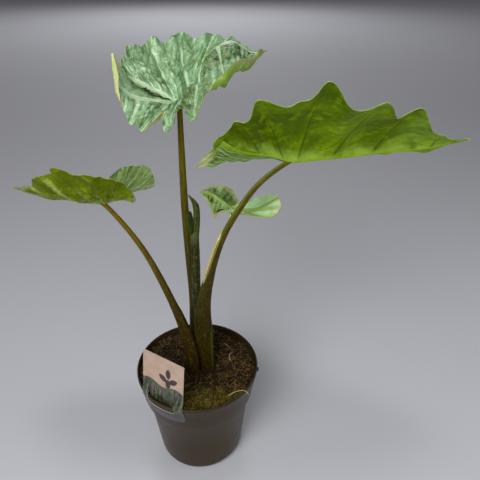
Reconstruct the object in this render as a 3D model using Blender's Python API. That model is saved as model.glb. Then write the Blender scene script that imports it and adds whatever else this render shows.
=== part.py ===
"""Potted portodora alocasia: a plant with four arrow shaped leaves and one new leaf, in its
nursery pot with a care label clipped on the rim.

Millimetres in the values below, metres in the model. X runs to the right of the view that the
leaves were placed for, Y runs away from it, Z is up. The origin is the centre of the pot's
underside, on the surface that the pot stands on.
"""

import math

import bmesh
import bpy
from mathutils import Matrix, Vector

MM = 0.001
GAP = 0.3                      # clearance between neighbours that touch

# Pot: a 19 cm round nursery pot with a tall stacking collar.
RIM_RADIUS = 95.0
POT_HEIGHT = 175.0
COLLAR_DEPTH = 48.0            # rim down to the collar's foot
COLLAR_FOOT_RADIUS = 87.2
BODY_TOP_RADIUS = 81.8         # just under the collar
BASE_RADIUS = 67.5             # the body's slope carried down to the surface
BASE_EDGE_RADIUS = 14.0        # rounded edge between wall and base
WALL = 1.6
LIP = 3.0                      # width of the rolled rim
POT_SIDES = 40
FOOT_GROOVE = (30.0, 45.0, 3.0)    # inner radius, outer radius, height of the drain groove
DRAIN_HOLES = 8
DRAIN_RADIUS = 5.0
LUG_SIZE = (4.0, 5.0, 6.0)     # small lug on the right: outwards, along the rim, up
LUG_DROP = 9.0                 # its middle below the rim
LUG_AZIMUTH = -3.0             # degrees
LUG_SUNK = 1.2                 # how far it starts inside the collar's wall

# Soil and the buried rootstock.
SOIL_TOP = 163.0
SOIL_MOUND = 5.0               # rise towards the stems
SOIL_RELIEF = 1.3
STEM_FOOT = 138.0              # height of the petioles' feet inside the soil
ROOTSTOCK_RADIUS = 25.0
ROOTSTOCK_DEPTH = 42.0
ROOTSTOCK_CENTRE = (3, 3, 0)

# Leaves.
BLADE_THICKNESS = 0.9
ROW_STEPS = (0.0, 0.2, 0.5, 0.8)     # where the rows of faces lie between two veins
COLUMNS = (0.0, 0.07, 0.28, 0.52, 0.78, 1.0)
LOBE_ROUNDNESS = 1.3           # above 1 the margin's lobes are broader than its notches
TUBE_SIDES = 10
STEM_CLEARANCE = 0.5           # between a stem and its hole in the soil
CROWN_SEAT = 0.006             # gap between petiole and blade, in steps of the petiole's path

# Care label.
LABEL_WIDTH = 73.0
LABEL_ABOVE = 74.0             # above the rim
LABEL_BELOW = 30.0             # outside the collar
LABEL_THICKNESS = 0.8
LABEL_AZIMUTH = -121.5         # degrees, direction of its middle from the pot's axis
LABEL_LEAN = 8.5               # degrees, its top leans in over the soil
LABEL_CORNER = 5.0
LABEL_SEAT = 87.4              # distance of the flat card from the pot's axis at the rim
LABEL_CUT = 11.0               # top of the U shaped cut above the rim
TONGUE_WIDTH = 46.0
STRAP_TOP = 11.5               # upper edge of the outer strap below the rim
TONGUE_END = 8.0               # the tongue's end below the rim
SLIT = 0.8                     # width of the cut


def point(values):
    return Vector(values) * MM


def smooth_curve(points, u):
    """Catmull-Rom curve through the points; u runs from 0 to len(points) - 1."""
    last = len(points) - 1
    u = min(max(u, 0.0), float(last))
    i = min(int(u), last - 1)
    s = u - i
    p1, p2 = points[i], points[i + 1]
    p0 = points[i - 1] if i > 0 else p1 * 2 - p2
    p3 = points[i + 2] if i + 2 <= last else p2 * 2 - p1
    return 0.5 * (2 * p1 + (p2 - p0) * s + (2 * p0 - 5 * p1 + 4 * p2 - p3) * s ** 2
                  + (3 * p1 - p0 - 3 * p2 + p3) * s ** 3)


def lerp_table(table, u):
    """Straight-line reading of ((u, value), ...) at u."""
    if u <= table[0][0]:
        return table[0][1]
    for (u0, v0), (u1, v1) in zip(table, table[1:]):
        if u <= u1:
            return v0 + (v1 - v0) * (u - u0) / (u1 - u0)
    return table[-1][1]


def material(name, colour, roughness):
    made = bpy.data.materials.new(name)
    made.use_nodes = True
    shader = made.node_tree.nodes["Principled BSDF"]
    shader.inputs["Base Color"].default_value = (*colour, 1.0)
    shader.inputs["Roughness"].default_value = roughness
    made.diffuse_color = (*colour, 1.0)
    return made


def new_object(name, verts, faces, finish=None, smooth=True):
    mesh = bpy.data.meshes.new(name)
    mesh.from_pydata([tuple(v) for v in verts], [], faces)
    mesh.validate()
    obj = bpy.data.objects.new(name, mesh)
    bpy.context.scene.collection.objects.link(obj)
    if finish:
        mesh.materials.append(finish)
    bm = bmesh.new()
    bm.from_mesh(mesh)
    bmesh.ops.recalc_face_normals(bm, faces=bm.faces)
    bm.to_mesh(mesh)
    bm.free()
    if smooth:
        mesh.shade_smooth()
        mesh.set_sharp_from_angle(angle=math.radians(50))
    return obj


def as_cutter(obj):
    obj.hide_render = True
    obj.display_type = "WIRE"
    return obj


def boolean(obj, other, operation):
    """Apply one Boolean and remove the other object."""
    mod = obj.modifiers.new(operation, "BOOLEAN")
    mod.operation = operation
    mod.object = other
    bpy.context.view_layer.update()
    graph = bpy.context.evaluated_depsgraph_get()
    mesh = bpy.data.meshes.new_from_object(obj.evaluated_get(graph))
    old = obj.data
    obj.modifiers.clear()
    obj.data = mesh
    mesh.name = obj.name
    bpy.data.meshes.remove(old)
    bpy.data.objects.remove(other)
    return obj


def turned(name, profile, sides, finish=None, sharp=50):
    """Solid of revolution about Z from (radius, height) points that start and end on the axis."""
    verts, faces, rings = [], [], []
    for r, z in profile:
        if r == 0:
            rings.append([len(verts)] * sides)
            verts.append((0, 0, z * MM))
            continue
        rings.append(list(range(len(verts), len(verts) + sides)))
        for k in range(sides):
            a = 2 * math.pi * k / sides
            verts.append((r * MM * math.cos(a), r * MM * math.sin(a), z * MM))
    for low, high in zip(rings, rings[1:]):
        for k in range(sides):
            j = (k + 1) % sides
            corners = (low[k], low[j], high[j], high[k])
            face = tuple(dict.fromkeys(corners))
            if len(face) > 2:
                faces.append(face)
    obj = new_object(name, verts, faces, finish)
    obj.data.set_sharp_from_angle(angle=math.radians(sharp))
    return obj


def arc(centre_r, centre_z, radius, start, end, steps):
    """Points of an arc in the profile plane, angles in degrees."""
    out = []
    for i in range(steps + 1):
        a = math.radians(start + (end - start) * i / steps)
        out.append((centre_r + radius * math.cos(a), centre_z + radius * math.sin(a)))
    return out


def body_radius(z):
    """Outer radius of the pot's body at height z."""
    top = POT_HEIGHT - COLLAR_DEPTH
    return BASE_RADIUS + (BODY_TOP_RADIUS - BASE_RADIUS) * z / top


def collar_radius(z):
    """Outer radius of the collar at height z."""
    foot = POT_HEIGHT - COLLAR_DEPTH
    return COLLAR_FOOT_RADIUS + (RIM_RADIUS - COLLAR_FOOT_RADIUS) * (z - foot) / COLLAR_DEPTH


def inner_radius(z):
    """Radius of the pot's inner wall at height z, above the rounded base edge."""
    step = POT_HEIGHT - COLLAR_DEPTH
    if z >= step + WALL:
        return collar_radius(z) - WALL
    return body_radius(min(z, step)) - WALL


def base_edge(radius, lift, steps):
    """Rounded edge of the base, from the flat underside up to the wall."""
    slope = math.degrees(math.atan2(BODY_TOP_RADIUS - BASE_RADIUS, POT_HEIGHT - COLLAR_DEPTH))
    centre_z = lift + radius
    centre_r = body_radius(centre_z) - (radius + lift) / math.cos(math.radians(slope))
    return arc(centre_r, centre_z, radius, -90, -slope, steps)


def make_pot(finish):
    step = POT_HEIGHT - COLLAR_DEPTH
    groove_in, groove_out, groove_z = FOOT_GROOVE
    outer = [(0, 0), (groove_in, 0), (groove_in + 2, groove_z), (groove_out - 2, groove_z),
             (groove_out, 0)]
    outer += base_edge(BASE_EDGE_RADIUS, 0, 5)
    outer += [(body_radius(step), step), (COLLAR_FOOT_RADIUS - 0.8, step),
              (COLLAR_FOOT_RADIUS, step + 1.0)]
    outer += [(collar_radius(POT_HEIGHT - 5.5), POT_HEIGHT - 5.5),
              (RIM_RADIUS, POT_HEIGHT - 4.5), (RIM_RADIUS, POT_HEIGHT - 1.0),
              (RIM_RADIUS - 0.8, POT_HEIGHT)]
    inner = [(RIM_RADIUS - LIP + 0.8, POT_HEIGHT), (RIM_RADIUS - LIP, POT_HEIGHT - 1.2),
             (collar_radius(POT_HEIGHT - 4.0) - WALL - 0.3, POT_HEIGHT - 4.0),
             (COLLAR_FOOT_RADIUS - WALL, step + WALL + 0.2), (body_radius(step) - WALL, step + WALL)]
    inner += list(reversed(base_edge(BASE_EDGE_RADIUS - WALL, WALL, 5)))
    inner += [(groove_out + 1, WALL), (groove_out - 1, groove_z + WALL),
              (groove_in + 1, groove_z + WALL), (groove_in - 1, WALL), (0, WALL)]
    pot = turned("pot", outer + inner, POT_SIDES, finish, sharp=35)
    mid = (groove_in + groove_out) / 2
    for k in range(DRAIN_HOLES):
        a = 2 * math.pi * (k + 0.5) / DRAIN_HOLES
        bpy.ops.mesh.primitive_cylinder_add(vertices=12, radius=DRAIN_RADIUS * MM, depth=20 * MM,
                                            location=point((mid * math.cos(a), mid * math.sin(a), 0)))
        boolean(pot, as_cutter(bpy.context.object), "DIFFERENCE")
    a = math.radians(LUG_AZIMUTH)
    z = POT_HEIGHT - LUG_DROP
    r = collar_radius(z) + LUG_SIZE[0] / 2 - LUG_SUNK
    bpy.ops.mesh.primitive_cube_add(size=1, rotation=(0, 0, a),
                                    location=point((r * math.cos(a), r * math.sin(a), z)))
    lug = bpy.context.object
    lug.data.transform(Matrix.Diagonal((*point(LUG_SIZE), 1)))
    boolean(pot, lug, "UNION")
    pot.data.set_sharp_from_angle(angle=math.radians(35))
    return pot


def tube(name, spec, finish=None, sides=TUBE_SIDES, steps=14, grow=0.0, start=0.0, end=None,
         sink=0.0):
    """Closed stem along a smooth path, with its half width and half depth read along the path.

    A stem that starts in the soil has a flat foot, lowered by sink.
    """
    pts = [point(p) for p in spec["path"]]
    end = len(pts) - 1 if end is None else end
    verts, faces = [], []
    side = Vector((1, 0, 0))
    for i in range(steps + 1):
        u = start + (end - start) * i / steps
        here = smooth_curve(pts, u)
        ahead = (smooth_curve(pts, u + 0.02) - smooth_curve(pts, u - 0.02)).normalized()
        side = (side - ahead * side.dot(ahead)).normalized()
        other = ahead.cross(side)
        wide = (lerp_table(spec["across"], u) + grow) * MM
        deep = (lerp_table(spec["deep"], u) + grow) * MM
        for k in range(sides):
            a = 2 * math.pi * k / sides
            verts.append(here + side * (wide * math.cos(a)) + other * (deep * math.sin(a)))
            if i == 0 and here.z < SOIL_TOP * MM:
                verts[-1].z = here.z - sink * MM
    for i in range(steps):
        for k in range(sides):
            j = (k + 1) % sides
            faces.append((i * sides + k, i * sides + j, (i + 1) * sides + j, (i + 1) * sides + k))
    faces.append(tuple(reversed(range(sides))))
    faces.append(tuple(range(steps * sides, (steps + 1) * sides)))
    return new_object(name, verts, faces, finish)


# Each leaf: where the petiole meets the blade, the midrib to the tip, the two ribs of the
# back lobes, and for both halves the tips of the side veins from the back lobe to the tip.
# A station is the vein's root: -1 is the end of a back rib, 0 the petiole, 1 the leaf's tip.
# A notch is how deep the margin is drawn in between a vein and the next, as a part of its
# length. Points are in millimetres from the pot's foot: right, back, up.
LEAVES = {
    "right": {
        "at": (127, 0, 516),
        "rib": ((127, 0, 516), (180, 0, 521), (233, 4, 525), (297, 5, 531), (344, 0, 544)),
        "stations": (-1, -0.66, -0.34, -0.06, 0.05, 0.25, 0.48, 0.76, 1),
        "near_rib": ((127, 0, 516), (92, -8, 524), (50, -14, 522), (10, -10, 504)),
        "near": ((10, -10, 504), (38, -35, 550), (61, -60, 581), (85, -80, 608), (153, -85, 628),
                 (215, -75, 605), (259, -55, 594), (304, -22, 553), (344, 0, 544)),
        "near_notch": (0.12, 0.14, 0.14, 0.2, 0.27, 0.24, 0.38, 0.1),
        "near_camber": (6, 8, 9, 9, 9, 9, 8, 6, 3), "near_quilt": 4, "near_wave": -2,
        "far_rib": ((127, 0, 516), (105, 20, 515), (78, 46, 519), (52, 66, 522)),
        "far": ((52, 66, 522), (72, 84, 526), (92, 104, 524), (118, 118, 516), (162, 118, 505),
                (214, 100, 498), (262, 74, 500), (308, 34, 518), (344, 0, 544)),
        "far_notch": (0.12, 0.12, 0.14, 0.18, 0.2, 0.2, 0.26, 0.1),
        "far_camber": (4, 6, 6, 6, 6, 6, 6, 6, 4), "far_quilt": 4, "far_wave": 3,
        "inner": 0.34, "overlap": 0, "keel": 3.2,
    },
    "left": {
        "at": (-107, -5, 461),
        "rib": ((-107, -5, 461), (-138, 3, 463), (-172, 12, 466), (-206, 20, 467),
                (-236, 25, 469)),
        "stations": (-1, -0.6, -0.25, 0.04, 0.2, 0.44, 0.72, 1),
        "near_rib": ((-107, -5, 461), (-92, -14, 469), (-76, -22, 474), (-64, -26, 472)),
        "near": ((-64, -26, 472), (-61, -36, 491), (-75, -46, 510), (-104, -55, 521),
                 (-148, -46, 525), (-178, -30, 504), (-208, 0, 479), (-236, 25, 469)),
        "near_notch": (0.06, 0.1, 0.1, 0.12, 0.2, 0.22, 0.12),
        "near_camber": (2, 4, 5, 5, 5, 5, 4, 2), "near_quilt": 3, "near_wave": -1,
        "far_rib": ((-107, -5, 461), (-92, 16, 463), (-70, 34, 464), (-50, 46, 463)),
        "far": ((-50, 46, 463), (-58, 68, 478), (-84, 84, 478), (-126, 84, 448),
                (-166, 78, 428), (-204, 70, 426), (-230, 46, 450), (-236, 25, 469)),
        "far_notch": (0.06, 0.12, 0.14, 0.16, 0.2, 0.2, 0.12),
        "far_camber": (2, 4, 6, 6, 6, 6, 5, 3), "far_quilt": 3, "far_wave": 3,
        "inner": 0.34, "overlap": 0, "keel": 2.6,
    },
    "top": {
        "at": (-4, 10, 582),
        "rib": ((-4, 10, 582), (11, 45, 598), (21, 76, 619), (36, 102, 631), (58, 125, 634),
                (82, 143, 617), (103, 153, 618)),
        "stations": (-1, -0.7, -0.4, -0.08, 0.1, 0.3, 0.52, 0.74, 1),
        "near_rib": ((-4, 10, 582), (-30, -14, 592), (-52, -34, 604), (-64, -34, 622),
                     (-67, -22, 643)),
        "near": ((-67, -22, 643), (-62, -48, 609), (-49, -60, 582), (-37, -63, 571),
                 (-12, -54, 571), (11, -36, 580), (51, 4, 618), (80, 72, 624), (103, 153, 618)),
        "near_notch": (0.1, 0.06, 0.12, 0.24, 0.18, 0.0, 0.04, 0.04),
        "near_camber": (0, 2, 6, 8, 4, -8, -20, -16, -4), "near_quilt": 4, "near_wave": 2,
        "far_rib": ((-4, 10, 582), (-26, 8, 596), (-48, 4, 609), (-67, -3, 617)),
        "far": ((-67, -3, 617), (-66, 12, 634), (-62, 36, 643), (-40, 70, 647), (-9, 100, 650),
                (32, 125, 645), (59, 140, 637), (77, 149, 621), (103, 153, 618)),
        "far_notch": (0.14, 0.14, 0.12, 0.16, 0.22, 0.2, 0.1, 0.75),
        "far_camber": (-4, -6, -8, -8, -8, -8, -8, -6, -2), "far_quilt": 4, "far_wave": -1,
        "inner": 0.6, "overlap": 1.6, "keel": 2.8, "belly": 1.6,
    },
    "small": {
        "at": (55, 18, 444),
        "rib": ((55, 18, 444), (44, 20, 450), (33, 24, 455), (23, 28, 458), (13, 32, 459)),
        "stations": (-1, -0.6, -0.25, 0.05, 0.3, 0.62, 1),
        "near_rib": ((55, 18, 444), (76, 17, 444), (100, 14, 445), (121, 12, 446)),
        "near": ((121, 12, 446), (106, -4, 442), (86, -2, 440), (52, 8, 437), (36, 4, 432),
                 (24, 12, 444), (13, 32, 459)),
        "near_notch": (0.08, 0.12, 0.12, 0.12, 0.14, 0.1),
        "near_camber": (1, 2, 3, 3, 3, 3, 1), "near_quilt": 2, "near_wave": 2,
        "far_rib": ((55, 18, 444), (78, 25, 446), (100, 29, 448), (121, 30, 449)),
        "far": ((121, 30, 449), (108, 48, 452), (90, 54, 447), (62, 52, 448), (46, 56, 459),
                (28, 48, 464), (13, 32, 459)),
        "far_notch": (0.08, 0.1, 0.3, 0.14, 0.08, 0.08),
        "far_camber": (1, 2, 3, 3, 3, 3, 1), "far_quilt": 2, "far_wave": 2,
        "inner": 0.56, "overlap": 1.2, "keel": 1.8,
    },
}


def spine_point(leaf, side, station):
    """Point on the back rib (station below 0) or on the midrib."""
    ribs = [point(p) for p in (leaf["rib"] if station >= 0 else leaf[side + "_rib"])]
    return smooth_curve(ribs, abs(station) * (len(ribs) - 1))


def vein_root(leaf, side, v):
    """Spine point for the vein index v, which need not be whole."""
    stations = leaf["stations"]
    i = min(int(v), len(stations) - 2)
    return spine_point(leaf, side, stations[i] + (stations[i + 1] - stations[i]) * (v - i))


def half_normal(leaf, side, v):
    """Upper side's direction of one half of the blade near the vein index v."""
    last = len(leaf["stations"]) - 1
    v = min(max(v, 0.6), last - 0.6)
    tips = [point(p) for p in leaf[side]]
    along = vein_root(leaf, side, v + 0.5) - vein_root(leaf, side, v - 0.5)
    along += smooth_curve(tips, v + 0.5) - smooth_curve(tips, v - 0.5)
    out = smooth_curve(tips, v) - vein_root(leaf, side, v)
    normal = along.cross(out)
    return normal.normalized()


def blade_point(leaf, side, v, t, up):
    """Middle surface of a half blade: v counts the veins, t runs from the spine to the margin."""
    tips = [point(p) for p in leaf[side]]
    last = len(tips) - 1
    i = min(int(v), last - 1)
    s = v - i
    root = vein_root(leaf, side, v)
    between = 0.5 - 0.5 * math.cos(2 * math.pi * s)
    edge = smooth_curve(tips, v)
    reach = (edge - root).length / MM
    edge = root + (edge - root) * (1 - leaf[side + "_notch"][i] * between ** LOBE_ROUNDNESS)
    here = root + (edge - root) * t
    size = min(1.0, reach / 60.0)
    belly = t ** leaf.get("belly", 1.0)
    arch = leaf[side + "_camber"]
    lift = (arch[i] + (arch[i + 1] - arch[i]) * s) * 4 * belly * (1 - belly) * size
    lift += leaf[side + "_quilt"] * between * math.sin(math.pi * min(1, t * 1.1) ** 0.8) * size
    lift -= leaf[side + "_wave"] * math.cos(2 * math.pi * s) * t ** 3 * size
    return here + up * (lift * MM)


def blade_surface(leaf, steps, columns):
    """Vertices, triangles and keel offsets of a blade's middle surface."""
    last = len(leaf["stations"]) - 1
    # The root row of the petiole is the vein index where the station is 0.
    stations = leaf["stations"]
    base = next(i for i in range(last) if stations[i] < 0 <= stations[i + 1])
    zero = base + (0 - stations[base]) / (stations[base + 1] - stations[base])
    marks = {round(i + step, 6) for i in range(last) for step in steps} | {float(last)}
    marks = sorted({m for m in marks if abs(m - zero) > 0.09} | {round(zero, 6)})
    verts, faces, keel = [], [], []
    shared = {}

    def add(co, depth):
        verts.append(co)
        keel.append(depth)
        return len(verts) - 1

    def keel_depth(v, side):
        i = min(int(v), last - 1)
        station = stations[i] + (stations[i + 1] - stations[i]) * (v - i)
        return leaf["keel"] * (1 - 0.75 * abs(station)) * (0.8 if station < 0 else 1)

    for side, sign in (("near", 1), ("far", -1)):
        facing = -sign
        grid = []
        for m in marks:
            up = half_normal(leaf, side, m) * facing
            row = []
            for t in columns:
                if t == 0 and m >= round(zero, 6):
                    if m not in shared:
                        shared[m] = add(blade_point(leaf, side, m, 0, up), keel_depth(m, side))
                    row.append(shared[m])
                    continue
                if m in (marks[0], marks[-1]) and t > 0:
                    row.append(row[0])
                    continue
                depth = keel_depth(m, side) if t == 0 else 0
                row.append(add(blade_point(leaf, side, m, t, up), depth))
            grid.append(row)
        for a, b in zip(grid, grid[1:]):
            for k in range(len(columns) - 1):
                for tri in ((a[k], a[k + 1], b[k + 1]), (a[k], b[k + 1], b[k])):
                    if len(set(tri)) == 3:
                        faces.append(tri if sign > 0 else tri[::-1])
        # The strip between the back rib and the sinus.
        other = "far" if side == "near" else "near"
        back = [(m, row[0]) for m, row in zip(marks, grid) if m <= round(zero, 6)]
        inner = []
        for m, index in back:
            i = min(int(m), last - 1)
            station = stations[i] + (stations[i + 1] - stations[i]) * (m - i)
            if m in (back[0][0], back[-1][0]):
                inner.append(index)
                continue
            u = abs(station)
            here = spine_point(leaf, side, station)
            across = spine_point(leaf, other, station) - here
            width = leaf["inner"] * math.sin(math.pi * u) ** 0.3
            lift = leaf["overlap"] * math.sin(math.pi * u) * (-1 if side == "near" else 1)
            inner.append(add(here + across * width + Vector((0, 0, lift * MM)), 0))
        for (m, a), b, (n, c), d in zip(back, inner, back[1:], inner[1:]):
            for tri in ((a, c, d), (a, d, b)):
                if len(set(tri)) == 3:
                    faces.append(tri if sign > 0 else tri[::-1])
    return verts, faces, keel


def make_blade(name, leaf, petiole, finish):
    """Closed blade with a keel on its underside and the petiole's crown."""
    verts, faces, keel = blade_surface(leaf, ROW_STEPS, COLUMNS)
    sheet = bmesh.new()
    made = [sheet.verts.new(v) for v in verts]
    for face in faces:
        sheet.faces.new([made[i] for i in face])
    sheet.normal_update()
    sheet.verts.index_update()
    upright = sum((f.normal * f.calc_area() for f in sheet.faces), Vector())
    sign = 1 if upright.z > 0 else -1
    half = BLADE_THICKNESS / 2 * MM
    top = [v.co + v.normal * (sign * half) for v in made]
    low = [v.co - v.normal * (sign * (half + keel[v.index] * MM)) for v in made]
    count = len(top)
    solid = []
    for face in sheet.faces:
        ids = [v.index for v in face.verts]
        solid.append(tuple(ids))
        solid.append(tuple(count + i for i in reversed(ids)))
    for edge in sheet.edges:
        if edge.is_boundary:
            a, b = (v.index for v in edge.verts)
            solid.append((a, b, count + b))
            solid.append((a, count + b, count + a))
    sheet.free()
    blade = new_object(name, top + low, solid, finish)
    crown = tube(name + "_crown", petiole, finish, steps=2, start=petiole["crown"],
                 end=petiole["stop"])
    return boolean(blade, crown, "UNION")


# Petioles: path from the foot to the blade, radii along the path, where the crown starts.
PETIOLES = {
    "right": {
        "path": ((14, 2, 138), (14, -2, 190), (13, -7, 250), (16, -9, 307), (29, -12, 364),
                 (43, -13, 409), (61, -13, 446), (90, -8, 487), (127, 0, 514)),
        "across": ((0, 12.0), (1, 12.8), (2, 14.6), (3, 10.0), (4, 5.6), (5, 4.5), (6, 4.1),
                   (7, 3.5), (8, 2.8)),
        "deep": ((0, 9.8), (1, 9.6), (2, 8.6), (3, 8.0), (4, 5.6), (5, 4.5), (8, 2.8)),
        "crown": 7.78, "stop": 8.0,
    },
    "left": {
        "path": ((-6, -13, 138), (-6, -13, 180), (-8, -12, 215), (-15, -11, 252),
                 (-31, -10, 308), (-55, -10, 376), (-77, -9, 419), (-107, -6, 459)),
        "across": ((0, 10.0), (1, 10.6), (2, 9.6), (3, 7.8), (4, 5.4), (5, 4.1), (6, 3.5), (7, 2.8)),
        "deep": ((0, 7.8), (1, 7.8), (2, 7.4), (3, 6.8), (4, 5.0), (5, 4.1), (6, 3.5), (7, 2.8)),
        "crown": 6.76, "stop": 7.0,
    },
    "top": {
        "path": ((-8, 11, 138), (-6, 15, 195), (-4, 18, 250), (-3, 18, 300), (-5, 15, 380),
                 (-6, 13, 456), (-5, 11, 530), (-4, 10, 580)),
        "across": ((0, 7.4), (2, 6.4), (3, 5.9), (4, 5.4), (5, 4.9), (6, 3.9), (7, 3.2)),
        "deep": ((0, 7.4), (2, 6.4), (3, 5.9), (4, 5.4), (5, 4.9), (6, 3.9), (7, 3.2)),
        "crown": 6.84, "stop": 7.0,
    },
    "small": {
        "path": ((16, -13, 337), (24, -17, 366), (36, -19, 404), (46, -9, 422), (54, 7, 428),
                 (55, 18, 443)),
        "across": ((0, 3.4), (1, 3.3), (2, 2.8), (3, 2.4), (4, 2.0), (5, 1.7)),
        "deep": ((0, 3.4), (1, 3.3), (2, 2.8), (3, 2.4), (4, 2.0), (5, 1.7)),
        "crown": 4.6, "stop": 5.0,
    },
}


def make_petiole(name, spec, finish):
    return tube(name, spec, finish, steps=20, end=spec["crown"] - CROWN_SEAT)


# The new leaf: its open sheath and the rolled blade that stands in it, with one margin of the
# roll standing clear as a flap.
SHEATH = {
    "path": ((11, 20, 138), (9, 15, 200), (7, 10, 250), (4, 6, 300), (5, 5, 360), (6, 4, 412)),
    "across": ((0, 6.2), (2, 6.4), (4, 6.4), (5, 6.2)),
    "deep": ((0, 6.2), (2, 6.4), (4, 6.4), (5, 6.2)),
}
ROLL = {
    "path": ((6, 4, 385), (7, 4, 412), (7, 4, 435), (5, 4, 455), (1, 3, 468)),
    "across": ((0, 3.8), (1, 4.2), (2, 4.4), (3, 3.2), (3.6, 1.4), (4, 0.5)),
    "deep": ((0, 3.8), (1, 4.2), (2, 4.2), (3, 3.0), (3.6, 1.4), (4, 0.5)),
}
MOUTH = {"path": ROLL["path"], "across": ((0, 4.6), (4, 5.0)), "deep": ((0, 4.6), (4, 5.0))}
FLAP = {
    "path": ((4, 2, 408), (0.5, 1, 424), (-0.5, 1, 436), (1.5, 1, 447)),
    "across": ((0, 2.2), (1, 4.0), (2, 3.4), (3, 1.0)),
    "deep": ((0, 1.4), (2, 1.2), (3, 0.7)),
}


def make_new_leaf(sheath_finish, roll_finish):
    sheath = tube("new_leaf_sheath", SHEATH, sheath_finish, steps=14)
    mouth = tube("mouth", MOUTH, steps=6, start=0, end=1.8)
    boolean(sheath, as_cutter(mouth), "DIFFERENCE")
    roll = tube("new_leaf", ROLL, roll_finish, steps=12, start=0.05)
    flap = tube("flap", FLAP, roll_finish, sides=8, steps=6, start=0.5)
    boolean(roll, flap, "UNION")


def soil_height(r, a):
    """Height of the soil's surface: a low mound with crumbs."""
    mound = SOIL_MOUND * math.exp(-(r / 42.0) ** 2)
    crumbs = math.sin(r * 0.31 + 3 * a) + math.sin(r * 0.17 - 5 * a + 1) + math.sin(9 * a + r * 0.6)
    return SOIL_TOP + mound + SOIL_RELIEF * crumbs / 2.2


def make_soil(finish):
    groove_in, groove_out, groove_z = FOOT_GROOVE
    step = POT_HEIGHT - COLLAR_DEPTH
    floor_z = WALL + GAP
    profile = [(0, floor_z), (groove_in - 1, floor_z), (groove_in + 1, groove_z + floor_z),
               (groove_out - 1, groove_z + floor_z), (groove_out + 1, floor_z)]
    profile += base_edge(BASE_EDGE_RADIUS - WALL - GAP, WALL + GAP, 4)
    profile += [(body_radius(step) - WALL - GAP, step + WALL),
                (COLLAR_FOOT_RADIUS - WALL - GAP - 0.3, step + WALL + 0.6)]
    rings = (88.0, 76.0, 64.0, 52.0, 40.0, 30.0, 0)
    profile += [(inner_radius(SOIL_TOP) - GAP - 0.3, SOIL_TOP)]
    profile += [(r, SOIL_TOP) for r in rings[1:]]
    soil = turned("soil", profile, POT_SIDES, finish)
    top_start = SOIL_TOP * MM - 1e-6
    for v in soil.data.vertices:
        if v.co.z >= top_start:
            r = math.hypot(v.co.x, v.co.y) / MM
            v.co.z = soil_height(r, math.atan2(v.co.y, v.co.x)) * MM
    soil.data.update()
    return soil


def make_rootstock(finish, grow=0.0, name="rootstock"):
    top = STEM_FOOT - GAP + grow
    low = STEM_FOOT - ROOTSTOCK_DEPTH - grow
    r = ROOTSTOCK_RADIUS + grow
    profile = [(0, low), (r * 0.45, low), (r * 0.8, low + 12), (r, low + 28), (r, top - 3), (r - 2, top),
               (0, top)]
    stock = turned(name, profile, 20, finish)
    stock.data.transform(Matrix.Translation(point(ROOTSTOCK_CENTRE)))
    return stock


def label_depth(x, h, strap):
    """Distance of the card's middle from the pot's axis, x across it and h above the rim."""
    clear = LABEL_THICKNESS / 2 + GAP
    flat = LABEL_SEAT - h * math.tan(math.radians(LABEL_LEAN))
    if not strap:
        wall = inner_radius(min(POT_HEIGHT + h, POT_HEIGHT - 4)) - 1.7
        return min(flat, math.sqrt(wall ** 2 - x ** 2) - clear) if h < 1 else flat
    outer = RIM_RADIUS if h > -7 else collar_radius(POT_HEIGHT + h) + 0.2
    outside = math.sqrt(outer ** 2 - x ** 2) + clear
    if h <= 1.5:
        return outside
    blend = min(1.0, (h - 1.5) / (LABEL_CUT - 1.5))
    return outside + (flat - outside) * blend


def make_label(finish):
    """Card with a U shaped cut: the tongue goes inside the rim, the strap outside."""
    half, cut, round_off = LABEL_WIDTH / 2, TONGUE_WIDTH / 2, LABEL_CORNER
    right = [0, cut / 2, cut, cut + SLIT, half - round_off, half - round_off * 0.3, half]
    xs = [-x for x in reversed(right[1:])] + right
    low = -LABEL_BELOW
    hs = [low, low + round_off * 0.3, low + round_off, -18, -STRAP_TOP, -TONGUE_END, -4, 1.2, 4, 7,
          LABEL_CUT, 20, 45, LABEL_ABOVE]
    a = math.radians(LABEL_AZIMUTH)
    out, across = Vector((math.cos(a), math.sin(a), 0)), Vector((-math.sin(a), math.cos(a), 0))
    grid, verts = {}, []
    for i, x in enumerate(xs):
        for j, h in enumerate(hs):
            strap = abs(x) > cut + SLIT / 2 or h <= -STRAP_TOP
            if abs(x) == half and h == low:
                # The outermost corner point is drawn in, which rounds the corner.
                x_in, h_in = x - math.copysign(round_off * 0.3, x), h + round_off * 0.3
            else:
                x_in, h_in = x, h
            grid[i, j] = len(verts)
            y = label_depth(x_in, h_in, strap)
            verts.append((out * y + across * x_in) * MM + point((0, 0, POT_HEIGHT + h_in)))
    faces = []
    for i in range(len(xs) - 1):
        for j in range(len(hs) - 1):
            middle_x, middle_h = abs(xs[i] + xs[i + 1]) / 2, (hs[j] + hs[j + 1]) / 2
            in_cut = -STRAP_TOP < middle_h < LABEL_CUT and cut < middle_x < cut + SLIT
            under_tongue = -STRAP_TOP < middle_h < -TONGUE_END and middle_x < cut + SLIT
            if in_cut or under_tongue:
                continue
            quad = (grid[i, j], grid[i + 1, j], grid[i + 1, j + 1], grid[i, j + 1])
            if (i, j) in ((0, 0), (len(xs) - 2, 0)):
                continue
            faces += [quad[:3], (quad[0], quad[2], quad[3])]
    last = len(xs) - 1
    faces += [(grid[1, 0], grid[1, 1], grid[0, 1]), (grid[last - 1, 0], grid[last, 1], grid[last - 1, 1])]
    used = sorted({i for f in faces for i in f})
    place = {old: new for new, old in enumerate(used)}
    card = new_object("plant_label", [verts[i] for i in used],
                      [tuple(place[i] for i in f) for f in faces], finish, smooth=False)
    solid = card.modifiers.new("thickness", "SOLIDIFY")
    solid.thickness = LABEL_THICKNESS * MM
    solid.offset = 0
    return card


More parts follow.
